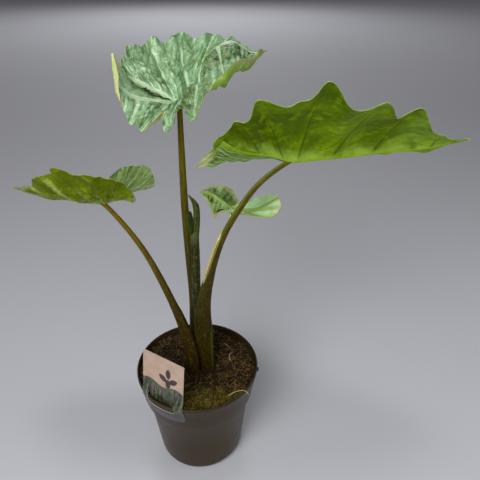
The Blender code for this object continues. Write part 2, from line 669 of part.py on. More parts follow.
def main():
    for old in list(bpy.data.objects):
        bpy.data.objects.remove(old)
    pot_plastic = material("pot_plastic", (0.09, 0.085, 0.07), 0.45)
    peat = material("peat", (0.05, 0.028, 0.014), 0.95)
    stem = material("petiole", (0.16, 0.14, 0.02), 0.4)
    upper = material("leaf_silver_green", (0.2, 0.4, 0.2), 0.35)
    green = material("leaf_green", (0.13, 0.26, 0.02), 0.45)
    dark = material("new_leaf_green", (0.05, 0.08, 0.02), 0.4)
    root = material("rootstock", (0.2, 0.12, 0.06), 0.8)
    card = material("label_card", (0.75, 0.6, 0.5), 0.4)

    make_pot(pot_plastic)
    soil = make_soil(peat)
    make_rootstock(root)
    boolean(soil, as_cutter(make_rootstock(None, GAP, "rootstock_hole")), "DIFFERENCE")
    for key in ("right", "left", "top"):
        make_petiole("petiole_" + key, PETIOLES[key], stem)
    for spec in (PETIOLES["right"], PETIOLES["left"], PETIOLES["top"], SHEATH):
        hole = tube("hole", spec, grow=STEM_CLEARANCE, steps=6, end=1.2, sink=2)
        boolean(soil, as_cutter(hole), "DIFFERENCE")

    make_petiole("petiole_small", PETIOLES["small"], stem)
    socket = tube("socket", PETIOLES["small"], grow=STEM_CLEARANCE, steps=16, end=3.4)
    boolean(bpy.data.objects["petiole_right"], as_cutter(socket), "DIFFERENCE")
    for key, finish in (("right", green), ("left", green), ("top", upper), ("small", upper)):
        make_blade("blade_" + key, LEAVES[key], PETIOLES[key], finish)
    make_new_leaf(dark, dark)
    make_label(card)


main()
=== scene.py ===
# %% [markdown]
# A tall elephant ear plant stands in a round nursery pot. It has four arrow shaped leaves on long
# stems, one new leaf still rolled up, a card label on the rim and peat with loose fibres.
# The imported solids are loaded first, as a fixed frame. Finer pieces then take the place of the
# solids, one by one, at the same places and sizes.

# %% Load the frame
import math
import random

import bmesh
import bpy
from mathutils import Matrix, Vector, noise


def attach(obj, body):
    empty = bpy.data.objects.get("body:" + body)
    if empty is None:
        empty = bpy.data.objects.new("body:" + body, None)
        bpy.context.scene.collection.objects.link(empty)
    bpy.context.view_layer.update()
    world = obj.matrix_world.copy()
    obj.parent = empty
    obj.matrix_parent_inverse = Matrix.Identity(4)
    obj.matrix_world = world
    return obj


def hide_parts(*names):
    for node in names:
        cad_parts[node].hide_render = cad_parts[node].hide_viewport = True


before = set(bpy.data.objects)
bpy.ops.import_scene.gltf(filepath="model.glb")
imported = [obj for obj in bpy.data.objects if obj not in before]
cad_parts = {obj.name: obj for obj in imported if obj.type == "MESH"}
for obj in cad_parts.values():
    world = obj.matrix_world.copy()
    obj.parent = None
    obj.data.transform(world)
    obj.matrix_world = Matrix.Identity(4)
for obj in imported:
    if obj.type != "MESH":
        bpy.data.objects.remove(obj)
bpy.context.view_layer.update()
print("solids:", ", ".join(sorted(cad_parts)))

# %% [markdown]
# Every length below is in millimetres, as a grower would measure the plant, and one factor
# turns it into Blender's metres. Operators act on all that is selected, and the solids still are,
# so each step first clears the selection.

# %% Units and selection
MM = 0.001
MERGE = 0.00002                # metres; points closer than this become one


def point(x, y, z):
    """A place given in millimetres, as a vector in metres."""
    return Vector((x, y, z)) * MM


def select_only(obj):
    """Select one object and nothing else."""
    bpy.ops.object.select_all(action="DESELECT")
    obj.select_set(True)
    bpy.context.view_layer.objects.active = obj


def edit(obj):
    """Open one object in edit mode, with all of it selected."""
    select_only(obj)
    bpy.ops.object.mode_set(mode="EDIT")
    bpy.ops.mesh.select_all(action="SELECT")


def done():
    """Leave edit mode."""
    bpy.ops.object.mode_set(mode="OBJECT")


def apply_modifier(obj, kind, **settings):
    """Add a modifier with its settings and make its result the mesh."""
    select_only(obj)
    modifier = obj.modifiers.new(kind.lower(), kind)
    for key, value in settings.items():
        setattr(modifier, key, value)
    bpy.ops.object.modifier_apply(modifier=modifier.name)


def join(first, *others):
    """Make one object of several."""
    select_only(first)
    for other in others:
        other.select_set(True)
    bpy.ops.object.join()
    return bpy.context.object


def settle(obj, name, slot, *nodes):
    """Name a finished piece, let it ride on the root body and hide the solids it stands for."""
    obj.name = name
    obj.data.name = name
    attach(obj, "root")
    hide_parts(*nodes)
    print(name, len(obj.data.polygons), "faces")


# %% [markdown]
# The camera comes first, so that every later step can be looked at. It stands in front of the
# plant, a little above the top leaf, and looks down at about 31 degrees. A lens as long as the
# sensor is wide gives it a field of view of 53 degrees.

# %% Camera
CAMERA_PLACE, CAMERA_DOWN = (67.3, -557, 733), 30.72

camera = bpy.data.objects.new("camera", bpy.data.cameras.new("camera"))
bpy.context.scene.collection.objects.link(camera)
camera.location = point(*CAMERA_PLACE)
camera.rotation_euler = (math.radians(90 - CAMERA_DOWN), 0, 0)
camera.data.lens = 36
camera.data.sensor_width = 36
camera.data.clip_start = 0.01
bpy.context.scene.camera = camera
print("camera at", tuple(round(c, 3) for c in camera.location))

# %% [markdown]
# Materials are node trees. They could be clicked together or written out node by node, but then
# one finish takes a page. A few small helpers keep them readable: one adds a node and feeds its
# sockets, the others are the nodes used most, which are a noise, a fade, a mix and simple maths.

# %% Node helpers
class Paint:
    """A material's node tree, with short names for the nodes that the finishes below use."""

    def __init__(self, name):
        self.material = bpy.data.materials.new(name)
        self.material.use_nodes = True
        self.tree = self.material.node_tree
        self.shader = self.tree.nodes["Principled BSDF"]

    def add(self, kind, inputs=(), **settings):
        node = self.tree.nodes.new(kind)
        for key, value in settings.items():
            setattr(node, key, value)
        for key, value in dict(inputs).items():
            self.feed(node.inputs[key], value)
        return node

    def feed(self, socket, value):
        if isinstance(value, bpy.types.NodeSocket):
            self.tree.links.new(value, socket)
        elif isinstance(value, tuple) and socket.type == "RGBA":
            socket.default_value = (*value, 1.0)
        else:
            socket.default_value = value

    def place(self, scale=(1, 1, 1)):
        """Place on the object, with its coordinates stretched by scale."""
        where = self.add("ShaderNodeTexCoord").outputs["Object"]
        return self.add("ShaderNodeMapping", {"Vector": where, "Scale": scale}).outputs["Vector"]

    def noise(self, vector, scale, detail=4.0, rough=0.55, twist=0.0):
        inputs = {"Vector": vector, "Scale": scale, "Detail": detail, "Roughness": rough,
                  "Distortion": twist}
        return self.add("ShaderNodeTexNoise", inputs).outputs["Fac"]

    def value(self, name):
        """One of the notes that a piece keeps at its points."""
        return self.add("ShaderNodeAttribute", attribute_name=name).outputs["Fac"]

    def maths(self, operation, a, b=0.0):
        return self.add("ShaderNodeMath", {0: a, 1: b}, operation=operation).outputs[0]

    def fade(self, value, start, end, low=0.0, high=1.0):
        """Smooth step of a value from low at start to high at end."""
        inputs = {"Value": value, "From Min": start, "From Max": end, "To Min": low, "To Max": high}
        return self.add("ShaderNodeMapRange", inputs, interpolation_type="SMOOTHSTEP").outputs[0]

    def mix(self, factor, a, b):
        """Colour from a at factor 0 to b at factor 1."""
        node = self.add("ShaderNodeMix", data_type="RGBA")
        # The node has sockets for every kind of value; colours have 6 and 7, and 2 at its end.
        for index, value in ((0, factor), (6, a), (7, b)):
            self.feed(node.inputs[index], value)
        return node.outputs[2]

    def bump(self, height, strength, distance):
        inputs = {"Height": height, "Strength": strength, "Distance": distance}
        return self.add("ShaderNodeBump", inputs).outputs["Normal"]

    def finish(self, colour, roughness, normal=None, **even):
        """Join the parts to the shader. Numbers that are the same all over go on its sockets."""
        self.feed(self.shader.inputs["Base Color"], colour)
        self.feed(self.shader.inputs["Roughness"], roughness)
        if normal:
            self.feed(self.shader.inputs["Normal"], normal)
        for key, value in even.items():
            self.shader.inputs[key.replace("_", " ")].default_value = value
        return self.material


print("the solids have", len(bpy.data.materials), "materials")

# %% [markdown]
# A leaf of this plant has one midrib and two back ribs, which run into the lobes behind the
# stem. Side veins leave them towards the margin, and the margin bulges at each vein and is drawn
# in between two. A blade could be cut from its outline and bent, but then the veins, the folds
# and the paint would all have to be fitted to it afterwards. So a leaf is written down as its
# ribs and the tips of its side veins, and every point of the blade follows from two numbers:
# which vein it is at, and how far out along it.

# %% Curves
def smooth_curve(points, u):
    """Point of a smooth curve through the points; u runs from 0 to the last one's number."""
    last = len(points) - 1
    u = min(max(u, 0.0), float(last))
    i = min(int(u), last - 1)
    s = u - i
    p1, p2 = points[i], points[i + 1]
    p0 = points[i - 1] if i > 0 else p1 * 2 - p2
    p3 = points[i + 2] if i + 2 <= last else p2 * 2 - p1
    return 0.5 * (2 * p1 + (p2 - p0) * s + (2 * p0 - 5 * p1 + 4 * p2 - p3) * s ** 2
                  + (3 * p1 - p0 - 3 * p2 + p3) * s ** 3)


def lerp_table(table, u):
    """Straight reading of ((u, value), ...) at u."""
    if u <= table[0][0]:
        return table[0][1]
    for (u0, v0), (u1, v1) in zip(table, table[1:]):
        if u <= u1:
            return v0 + (v1 - v0) * (u - u0) / (u1 - u0)
    return table[-1][1]


def step_between(low, high, x):
    """Smooth step from 0 at low to 1 at high."""
    x = min(max((x - low) / (high - low), 0.0), 1.0)
    return x * x * (3 - 2 * x)


print("halfway up a smooth step:", step_between(0, 2, 1))

# %% [markdown]
# Each of the four leaves has its midrib from the stem to the tip, the two ribs of its back lobes,
# and the tips of its side veins, which are numbered from 0 at the back lobe to the leaf's tip.
# Near is the half towards the camera, far the other one. A station tells where a vein starts:
# -1 is the end of a back rib, 0 the stem and 1 the leaf's tip. Points are right, back and up from
# the pot's foot.
#
# Between two veins the margin is drawn in by notch, a part of the vein's length, and most at
# deepest, from 0 at one vein to 1 at the next. Narrow above 1 makes the lobes narrower, and bumps
# add small lobes, each with its vein number, width and height. Inner is the margin on the
# other side of a back rib, or else the part of the gap between the back ribs that the blade
# fills. Curl rolls the margin up, by an angle and a radius at some vein numbers. What the other
# numbers do is told where they are read.

# %% The leaves
LEAVES = {
    "right": {
        "rib": ((127, 0, 516), (180, 0, 521), (233, 4, 525), (297, 5, 531), (344, 0, 544)),
        "stations": (-1, -0.66, -0.34, -0.06, 0.05, 0.25, 0.48, 0.76, 1),
        "near_rib": ((127, 0, 516), (100, -8, 526), (76, -18, 532), (60, -26, 541), (48, -32, 551)),
        "near": ((10, -10, 504), (38, -35, 550), (61, -60, 581), (85, -80, 608), (153, -85, 628),
                 (215, -75, 605), (259, -55, 594), (304, -22, 553), (344, 0, 544)),
        "near_inner": ((127, 0, 516), (104, -6, 521), (84, -12, 522), (66, -16, 521),
                       (47, -18, 520), (29, -14, 511), (10, -10, 504)),
        "near_notch": (0.42, 0.02, 0.13, 0.18, 0.2, 0.2, 0.11, 0.02),
        "near_deepest": (0.5, 0.7, 0.46, 0.7, 0.64, 0.7, 0.78, 0.6),
        "near_narrow": (1, 1, 2, 2.1, 1.2, 1.1, 1.3, 1),
        "near_bumps": ((3.62, 0.1, 0.02),),
        "near_camber": (3, 8, 9, 9, 9, 9, 8, 6, 3), "near_quilt": 4, "near_wave": -2,
        "far_rib": ((127, 0, 516), (105, 20, 515), (78, 46, 519), (52, 66, 522)),
        "far": ((52, 66, 522), (72, 84, 526), (92, 104, 524), (118, 118, 516), (162, 118, 506),
                (214, 100, 505), (262, 74, 500), (306, 34, 516), (344, 0, 544)),
        "far_notch": (0.12, 0.12, 0.14, 0.18, 0.2, 0.2, 0.2, 0.1),
        "far_camber": (4, 6, 6, 6, 6, 6, 6, 6, 4), "far_quilt": 4, "far_wave": 3,
        "shade_near": ((3.2, 4.0, 0.3, 0.75, 0.8), (4.02, 4.5, 0.05, 0.4, 0.7),
                       (5.4, 6.0, 0.05, 0.9, 0.7), (0.9, 3.1, 0.3, 1.1, 0.25),
                       (3.0, 4.0, 0.0, 0.22, -0.6), (4.4, 5.4, 0.25, 1.1, -0.35),
                       (6.0, 7.8, 0.1, 1.1, -0.6), (1.2, 3.0, 0.0, 0.3, -0.7)),
        "shade_far": ((5.0, 8.0, 0.1, 1.3, -0.9),),
        "inner": 0.34, "keel": 3.2, "ragged": 0.3,
        "ripple": 0.7, "ripple_step": 9.0, "crumple": 1.6, "frill": 0.5, "vein_ridge": 0.9,
        "pucker": 0.5, "pale_near": 0.5, "fine": (18, 34),
    },
    "left": {
        "turned": -1,
        "rib": ((-107, -5, 461), (-138, 3, 460), (-172, 12, 461), (-206, 20, 464),
                (-236, 25, 469)),
        "stations": (-1, -0.6, -0.25, 0.02, 0.09, 0.29, 0.55, 1),
        "near_rib": ((-107, -5, 461), (-92, -14, 469), (-76, -22, 474), (-64, -26, 472)),
        "near": ((-65, -26, 472), (-61, -34, 487), (-75, -46, 509), (-104, -55, 520),
                 (-147, -46, 526), (-179, -28, 505), (-205, 0, 479), (-236, 25, 469)),
        "near_notch": (-0.06, 0.04, 0.05, 0.15, 0.14, 0.1, 0.12),
        "near_deepest": (0.5, 0.5, 0.5, 0.55, 0.28, 0.6, 0.5),
        "near_camber": (2, 4, 5, 5, 5, 5, 4, 2), "near_quilt": 4, "near_wave": -1,
        "far_rib": ((-107, -5, 461), (-92, 16, 463), (-70, 34, 464), (-49, 44, 463)),
        "far": ((-49, 44, 463), (-54, 62, 470), (-68, 76, 479), (-100, 84, 471),
                (-148, 78, 447), (-198, 68, 450), (-226, 46, 461), (-236, 25, 469)),
        "far_notch": (-0.03, -0.04, 0.0, 0.2, 0.05, 0.05, 0.1),
        "far_camber": (2, 4, 6, 6, 6, 6, 5, 3), "far_quilt": 3, "far_wave": 1,
        "shade_near": ((4.45, 4.85, 0.0, 1.0, -0.7), (5.45, 5.85, 0.0, 1.1, -0.7),
                       (6.2, 6.7, 0.0, 1.1, -0.6), (3.3, 3.9, 0.05, 0.6, -0.4),
                       (4.85, 5.3, 0.05, 1.1, 0.7), (5.9, 6.2, 0.05, 1.1, 0.7),
                       (3.6, 4.15, 0.3, 1.1, 0.5), (2.1, 2.95, 0.25, 1.1, 0.55),
                       (1.2, 2.0, 0.3, 1.1, 0.4), (2.1, 3.2, 0.0, 0.3, -0.6)),
        "shade_far": ((0.2, 2.9, 0.6, 1.1, 0.5), (0.0, 2.9, 0.1, 0.5, -0.5)),
        "inner": 0.34, "keel": 2.6, "pucker": 0.7,
        "ripple": 0.8, "ripple_step": 9.0, "crumple": 2.0, "frill": 0.6, "vein_ridge": 0.9,
        "fine": (18, 34),
    },
    "top": {
        "rib": ((-4, 10, 582), (11, 45, 598), (21, 76, 619), (36, 102, 631), (58, 125, 634),
                (82, 143, 617), (103, 153, 618)),
        "stations": (-1, -0.7, -0.4, -0.08, 0.1, 0.3, 0.52, 0.74, 1),
        "near_rib": ((-4, 10, 582), (-30, -14, 592), (-52, -34, 604), (-64, -34, 622),
                     (-67, -22, 643)),
        "near": ((-67, -22, 643), (-62, -48, 609), (-49, -60, 582), (-37, -63, 572),
                 (-12, -54, 571), (12, -36, 580), (51, 2, 610), (78, 64, 611), (103, 153, 618)),
        "near_inner": ((-4, 10, 582), (-18, -2, 592), (-34, -8, 602), (-40, -10, 606),
                       (-53, -14, 616), (-59, -22, 632), (-67, -22, 643)),
        "near_notch": (0.1, 0.06, 0.12, 0.42, 0.36, 0.12, 0.04, 0.0),
        "near_deepest": (0.5, 0.5, 0.6, 0.3, 0.5, 0.5, 0.5, 0.5),
        "near_curl": ((0, 60, 4), (0.6, 110, 4), (1.1, 130, 3), (1.6, 0, 2.5), (2.9, 0, 3),
                      (3.15, 150, 3), (3.45, 120, 3), (3.6, 0, 3), (5.45, 0, 7), (5.7, 75, 9),
                      (6.1, 110, 11), (7, 115, 12), (7.6, 112, 9), (8, 60, 2)),
        "near_camber": (0, 2, 5, 6, 3, -3, -7, -7, -2), "near_quilt": 4, "near_wave": 3,
        "far_rib": ((-4, 10, 582), (-26, 8, 596), (-48, 4, 609), (-67, -3, 617)),
        "far": ((-67, -3, 617), (-66, 12, 634), (-63, 36, 643), (-40, 70, 647), (-8, 100, 650),
                (32, 125, 645), (60, 140, 636), (77, 148, 624), (103, 153, 618)),
        "far_inner": ((-4, 10, 582), (-19, 6, 588), (-33, 0, 597), (-43, -4, 600),
                      (-54, -9, 608), (-67, -3, 617)),
        "far_notch": (0.14, 0.14, 0.1, 0.1, 0.13, 0.1, 0.03, 0.6),
        "far_camber": (-4, -6, -8, -8, -8, -8, -8, -6, -2), "far_quilt": 7, "far_wave": -1,
        "crease": 0.9, "keel": 2.8, "keel_fall": 2.4, "belly": 1.6, "pucker": 2.6,
        "ripple": 1.6, "ripple_step": 13.0, "crumple": 5.0, "frill": 2.4, "vein_ridge": 1.0,
        "pale_near": 1.3, "shut": 1.5,
        "edge_near": ((-0.1, 1.5, 0.84), (3.08, 3.5, 0.7), (5.6, 8, 0.985)),
        "ragged": 0.3, "fine": (24, 52),
        "shade_near": ((5.0, 7.9, 0.04, 0.5, 1.0), (4.9, 5.75, 0.5, 1.3, 0.6),
                       (4.0, 5.1, 0.35, 1.2, 0.9), (3.1, 3.6, 0.3, 1.1, 1.2)),
        "shade_far": ((-0.5, 0.9, 0.35, 1.3, 1.6), (4.1, 4.6, 0.3, 0.8, 0.5),
                      (2.5, 3.0, 0.2, 0.7, 0.5)),
    },
    "small": {
        "turned": -1,
        "rib": ((55, 18, 444), (43, 22, 451), (33, 26, 457), (23, 29, 460), (13, 32, 459)),
        "stations": (-1, -0.6, -0.25, 0.05, 0.3, 0.62, 1),
        "near_rib": ((55, 18, 444), (71, 16, 438), (87, 14, 439), (103, 14, 448), (119, 16, 457)),
        "near": ((119, 16, 457), (121, 8, 446), (103, -2, 437), (46, 4, 443), (33, 0, 436),
                 (26, 12, 450), (13, 32, 459)),
        "near_inner": ((55, 18, 444), (77, 22, 447), (88, 28, 451), (100, 32, 454), (112, 31, 456),
                       (119, 16, 457)),
        "near_notch": (0.04, 0.04, 0.1, 0.14, 0.14, 0.06),
        "near_camber": (1, 2, 3, 3, 3, 3, 1), "near_quilt": 2, "near_wave": 2,
        "far_rib": ((55, 18, 444), (74, 26, 445), (89, 32, 446), (103, 36, 448)),
        "far": ((103, 36, 448), (92, 42, 444), (73, 46, 437), (64, 48, 440), (52, 52, 456),
                (30, 48, 460), (13, 32, 459)),
        "far_inner": ((55, 18, 444), (74, 24, 443), (89, 30, 443), (103, 36, 448)),
        "far_notch": (0.08, 0.1, 0.1, -0.08, -0.02, -0.02),
        "far_camber": (1, 2, 3, 3, 3, 3, 1), "far_quilt": 2, "far_wave": 1,
        "keel": 1.8, "pucker": 0.5,
        "ripple": 1.0, "ripple_step": 7.0, "crumple": 1.6, "frill": 0.8, "vein_ridge": 0.6,
        "margin_pale": 0.7, "fine": (18, 30),
        "shade_near": ((-1.0, 2.9, -1.2, 1.3, -1.0), (2.9, 4.3, 0.5, 1.3, 1.6),
                       (4.3, 5.8, 0.05, 0.8, 0.9)),
        "shade_far": ((-1.0, 3.0, -1.2, 1.3, -1.0), (3.0, 4.4, 0.1, 0.6, 0.7),
                      (4.4, 5.7, 0.2, 0.8, 0.8)),
    },
}
print("leaves:", ", ".join(f"{key} with {len(leaf['near'])} veins" for key, leaf in LEAVES.items()))

# %% [markdown]
# The blade is a flat grid, one for each half, whose points are moved to their places. Its rows
# are the veins and the steps between them, and lie closer near a vein, where the ribs stand up.
# Its columns run from the inner margin over the back rib to the outer margin. On the way each
# point also notes how far it is from a vein and from the rib, for the paint and for the ribs.

# %% Where the rows and columns of a half blade lie
INNER_COLUMNS = (-1, -0.86, -0.7, -0.55, -0.4, -0.27, -0.15)


def row_steps(count):
    """Rows between two veins, closer beside the veins."""
    even_steps = tuple(0.07 + 0.86 * i / count for i in range(count + 1))
    return (0, 0.012, 0.035) + even_steps + (0.965, 0.988)


def blade_columns(count):
    """Columns from the inner margin at -1 over the rib at 0 to the outer margin at 1."""
    even_steps = tuple(0.07 + 0.88 * i / count for i in range(count + 1))
    return INNER_COLUMNS + (0, 0.008, 0.02, 0.04) + even_steps + (0.967, 0.985, 1)


def table_at(table, v):
    """Straight reading, at vein number v, of a table with one number for each vein."""
    i = min(int(v), len(table) - 2)
    return table[i] + (table[i + 1] - table[i]) * (v - i)


print("rows between two veins:", len(row_steps(18)), "and columns:", len(blade_columns(34)))

# %% [markdown]
# A half blade answers the questions that every point of it asks: where vein number v starts,
# which way is up there, how far out the margin lies, and how it is rolled. A class keeps those
# answers together, since all of them read the same leaf.

# %% One half of a leaf
class Half:
    """One half of a leaf, near or far, as a surface over vein number v and distance t."""

    def __init__(self, leaf, side):
        self.leaf, self.side = leaf, side
        self.back_rib = [point(*p) for p in leaf[side + "_rib"]]
        self.midrib = [point(*p) for p in leaf["rib"]]
        self.tips = [point(*p) for p in leaf[side]]
        self.inner = [point(*p) for p in leaf.get(side + "_inner", ())]
        self.last = len(self.tips) - 1
        stations = leaf["stations"]
        base = next(i for i in range(self.last) if stations[i] < 0 <= stations[i + 1])
        self.zero = base - stations[base] / (stations[base + 1] - stations[base])

    def station(self, v):
        """Where vein number v starts, on the scale of the stations."""
        stations = self.leaf["stations"]
        i = min(int(v), self.last - 1)
        return stations[i] + (stations[i + 1] - stations[i]) * (v - i)

    def root(self, v):
        """Point of the back rib or the midrib where vein v starts."""
        station = self.station(min(max(v, 0), self.last))
        ribs = self.midrib if station >= 0 else self.back_rib
        return smooth_curve(ribs, abs(station) * (len(ribs) - 1))

    def up(self, v):
        """Direction in which the reliefs rise near vein v."""
        # The blade has no width at its two ends, so it is looked at a little way in.
        v = min(max(v, 0.6), self.last - 0.6)
        along = self.root(v + 0.5) - self.root(v - 0.5)
        along += smooth_curve(self.tips, v + 0.5) - smooth_curve(self.tips, v - 0.5)
        out = smooth_curve(self.tips, v) - self.root(v)
        normal = along.cross(out).normalized()
        return -normal if self.side == "near" else normal

    def rows(self):
        """Vein numbers of all rows. One lies right at the stem, in place of any close beside it."""
        steps = row_steps(self.leaf["fine"][0])
        marks = {i + step for i in range(self.last) for step in steps} | {float(self.last)}
        near_zero = {m for m in marks if abs(m - self.zero) < 0.03}
        return sorted((marks - near_zero) | {self.zero})

    def margin(self, v):
        """How far out the margin lies at vein number v, as a part of the vein's full length."""
        i = min(int(v), self.last - 1)
        s = v - i
        deepest = self.leaf.get(self.side + "_deepest", [0.5] * self.last)[i]
        s = 0.5 * s / deepest if s < deepest else 1 - 0.5 * (1 - s) / (1 - deepest)
        narrow = self.leaf.get(self.side + "_narrow", [1] * self.last)[i]
        bite = 1 - abs(math.cos(math.pi * s)) ** (2 * narrow)
        out = 1 - self.leaf[self.side + "_notch"][i] * bite
        for where, wide, high in self.leaf.get(self.side + "_bumps", ()):
            out += high * math.exp(-((v - where) / wide) ** 2)
        # No margin is quite regular.
        if 0 < v < self.last:
            out += 0.008 * noise.noise(Vector((v * 5.1, 3.7, 0)))
        return out

    def curl(self, v):
        """Angle in radians and radius in millimetres of the rolled margin at vein number v."""
        marks = self.leaf.get(self.side + "_curl", ((0, 0, 1),))
        return (math.radians(lerp_table([(m[0], m[1]) for m in marks], v)),
                lerp_table([(m[0], m[2]) for m in marks], v))

    def inner_margin(self, other, v, t):
        """Point of the strip between the back rib and the inner margin, with t from 0 to -1.
        Ragged is how uneven that margin is."""
        u = min(1.0, abs(self.station(v)))
        root = self.root(v)
        if self.inner:
            edge = smooth_curve(self.inner, u * (len(self.inner) - 1))
            ragged = 1 + self.leaf.get("ragged", 0) * noise.noise(Vector((3.1 * v, 6.3, 0)))
            return root + (edge - root) * -t * ragged
        across = smooth_curve(other.back_rib, u * (len(other.back_rib) - 1)) - root
        return root + across * (self.leaf["inner"] * math.sin(math.pi * u) ** 0.3 * -t)


print("rows of the top leaf's near half:", len(Half(LEAVES["top"], "near").rows()))

# %% [markdown]
# Leaves are never smooth. Between two side veins the blade rises in a soft pillow, and between
# the finer veins, which leave each side vein aslant, in small ones. The margin waves, and nothing
# is quite regular. These reliefs are largest on the puckered top leaf. They could be left to
# bump in the material, but the light, the shadows and the outline show that such a leaf isn't
# flat, so they are moves of the points. All their heights are in millimetres.

# %% Relief of a half blade
FULL_REACH = 60.0              # shorter veins, near the tips, carry less relief
FINE_LEAN = 0.85               # how much the finer veins lean towards the margin


def aslant_of(t, reach, from_vein):
    """Constant along one of the finer veins, in millimetres."""
    return t * reach - FINE_LEAN * from_vein


def relief(half, v, t, reach, from_vein, where):
    """Height in millimetres above the even surface at vein v and distance t, and how much of
    a ridge, above 0, or of a crease, below 0, the point lies on."""
    leaf, side = half.leaf, half.side
    s = v - min(int(v), half.last - 1)
    size = min(1.0, reach / FULL_REACH)
    # Camber bows the whole half, most of all further out where belly is above 1. Quilt lifts each
    # field between two side veins, which a low crease makes fuller, and wave bends the margin.
    between = math.sin(math.pi * s) ** leaf.get("crease", 2)
    belly = t ** leaf.get("belly", 1.0)
    height = table_at(leaf[side + "_camber"], v) * 4 * belly * (1 - belly) * size
    height += leaf[side + "_quilt"] * between * math.sin(math.pi * min(1, t * 1.1) ** 0.8) * size
    height -= leaf[side + "_wave"] * math.cos(2 * math.pi * s) * t ** 3 * size
    # Puckers are small pillows with sharp creases between them, longer along the veins.
    warp = 0.8 * noise.noise(where * 40)
    spot = Vector((t * reach / 20 + warp, 3.6 * v + warp, 0.3))
    nearest, second = noise.voronoi(spot)[0][:2]
    cell = min(1, 1.8 * (second - nearest)) ** 0.6 - 0.6
    height += leaf["pucker"] * cell * min(1, 4 * t) * size
    # Ripples are pillows between the finer veins, one ripple_step apart.
    aslant = aslant_of(t, reach, from_vein) / leaf["ripple_step"] + 0.9 * noise.noise(where * 28)
    pillow = abs(math.sin(math.pi * aslant)) ** 0.6 - 0.6
    soft = min(1, from_vein / 6) * min(1, 4 * t) * min(1, 5 * (1 - t)) * size
    height += leaf["ripple"] * pillow * soft
    # Crumples are the irregular folds of a soft blade, large, small and smallest.
    loose = min(1, 3 * t) * size
    folds = noise.noise(where * 34) + 0.55 * noise.noise(where * 80 + Vector((5, 0, 2)))
    height += leaf["crumple"] * folds * loose
    height += leaf["crumple"] * 0.2 * noise.noise(where * 190) * loose
    # The outermost part of the margin is frilled.
    height += leaf["frill"] * math.sin(11 * v + 4 * noise.noise(where * 20)) * t ** 6 * size
    return height, (1.1 * cell + 0.6 * pillow + 0.8 * folds) * min(1, 5 * t)


print("veins of", FULL_REACH, "mm and more carry the full relief")

# %% [markdown]
# Now every point of a half blade can be placed. Beyond the back rib it lies on the strip to the
# inner margin. Out along a vein it lies on the line to the vein's tip, which goes round a roll
# where the margin curls, and the relief lifts it off that line.

# %% Points of a half blade
RIB_STEP = 12                  # millimetres between two side veins where they leave a rib


def half_surface(half, columns):
    """Places and notes of every point of a half blade, row by row."""
    leaf, side = half.leaf, half.side
    other = Half(leaf, "far" if side == "near" else "near")
    places, notes = [], []
    for v in half.rows():
        root, up = half.root(v), half.up(v)
        tip = smooth_curve(half.tips, v)
        i = min(int(v), half.last - 1)
        s = v - i
        edge = (tip - root) * half.margin(v)
        reach = (tip - root).length / MM
        spread = (half.tips[i + 1] - half.tips[i]).length / MM
        angle, radius = half.curl(v)
        length = edge.length / MM
        flat = max(0.0, length - radius * math.sin(min(angle, math.pi / 2)))
        whole = flat + radius * angle
        heading = edge.normalized() if length > 0.01 else Vector((0, 0, 0))
        for t in columns:
            from_vein = min(s, 1 - s) * (spread * abs(t) + (1 - abs(t)) * RIB_STEP)
            if t >= 0:
                # A rolled vein is flat first, then an arc of the roll's radius.
                way = t * whole
                turn = max(0.0, (way - flat) / radius) if angle else 0.0
                out = min(way, flat) + radius * math.sin(turn) if angle else way
                lift = radius * (1 - math.cos(turn)) if angle else 0.0
                where = root + heading * (out * MM)
                height, swell = relief(half, v, t, reach, from_vein, where)
                place = where + up * ((height * (1 - 0.6 * min(1, turn)) + lift) * MM)
                notes.append((from_vein, t * reach, aslant_of(t, reach, from_vein), v, t, swell))
            elif v < half.zero:
                place = half.inner_margin(other, v, t)
                away = (place - root).length / MM
                sway = leaf["crumple"] * (0.8 * noise.noise(place * 50) + 0.5 * noise.noise(place * 120))
                place += up * (sway * min(1, away / 8) * MM)
                notes.append((away * 0.7, away, away, v, 0.25 * t, 0))
            else:
                # The midrib has no inner strip, so these points fall together on it.
                place = root.copy()
                notes.append((0, 0, 0, v, 0, 0))
            places.append(place)
    return places, notes


small_places = half_surface(Half(LEAVES["small"], "near"), (0, 0.5, 1))[0]
print("the small leaf's near half reaches", round(max(p.z for p in small_places) / MM), "mm up")

# %% [markdown]
# Blender's grid is flat and even. Its points are numbered by their place on it, moved to the
# computed places, and the notes are kept as attributes, which the materials read later. Points
# that fall together, at both ends and along the midrib, are merged by the steps that use it.

# %% A grid that becomes a surface
def shaped_grid(name, row_count, column_count, places, notes, names):
    """A surface of rows and columns of places, with named notes at its points."""
    bpy.ops.object.select_all(action="DESELECT")
    bpy.ops.mesh.primitive_grid_add(x_subdivisions=column_count - 1, y_subdivisions=row_count - 1,
                                    size=2)
    obj = bpy.context.object
    obj.name = name
    mesh = obj.data
    order = []
    for vertex in mesh.vertices:
        column = round((vertex.co.x + 1) / 2 * (column_count - 1))
        row = round((vertex.co.y + 1) / 2 * (row_count - 1))
        order.append(row * column_count + column)
    for vertex, index in zip(mesh.vertices, order):
        vertex.co = places[index]
    for k, label in enumerate(names):
        attribute = mesh.attributes.new(label, "FLOAT", "POINT")
        attribute.data.foreach_set("value", [notes[index][k] for index in order])
    mesh.update()
    return obj


def face_towards(obj, up):
    """Turn the whole sheet over if most of it faces away from up."""
    total = sum((p.normal * p.area for p in obj.data.polygons), Vector())
    if total.dot(up) < 0:
        edit(obj)
        bpy.ops.mesh.flip_normals()
        done()


# %% [markdown]
# A blade is a skin of under a millimetre with ribs on its underside. The ribs could be tubes laid
# along it, but a real rib grows out of the blade without an edge. So the sheet gets one body: a
# Solidify modifier thickens it towards the underside only, by a weight at each point, which is
# small between the veins, larger at the veins, and largest below the midrib and the back ribs.

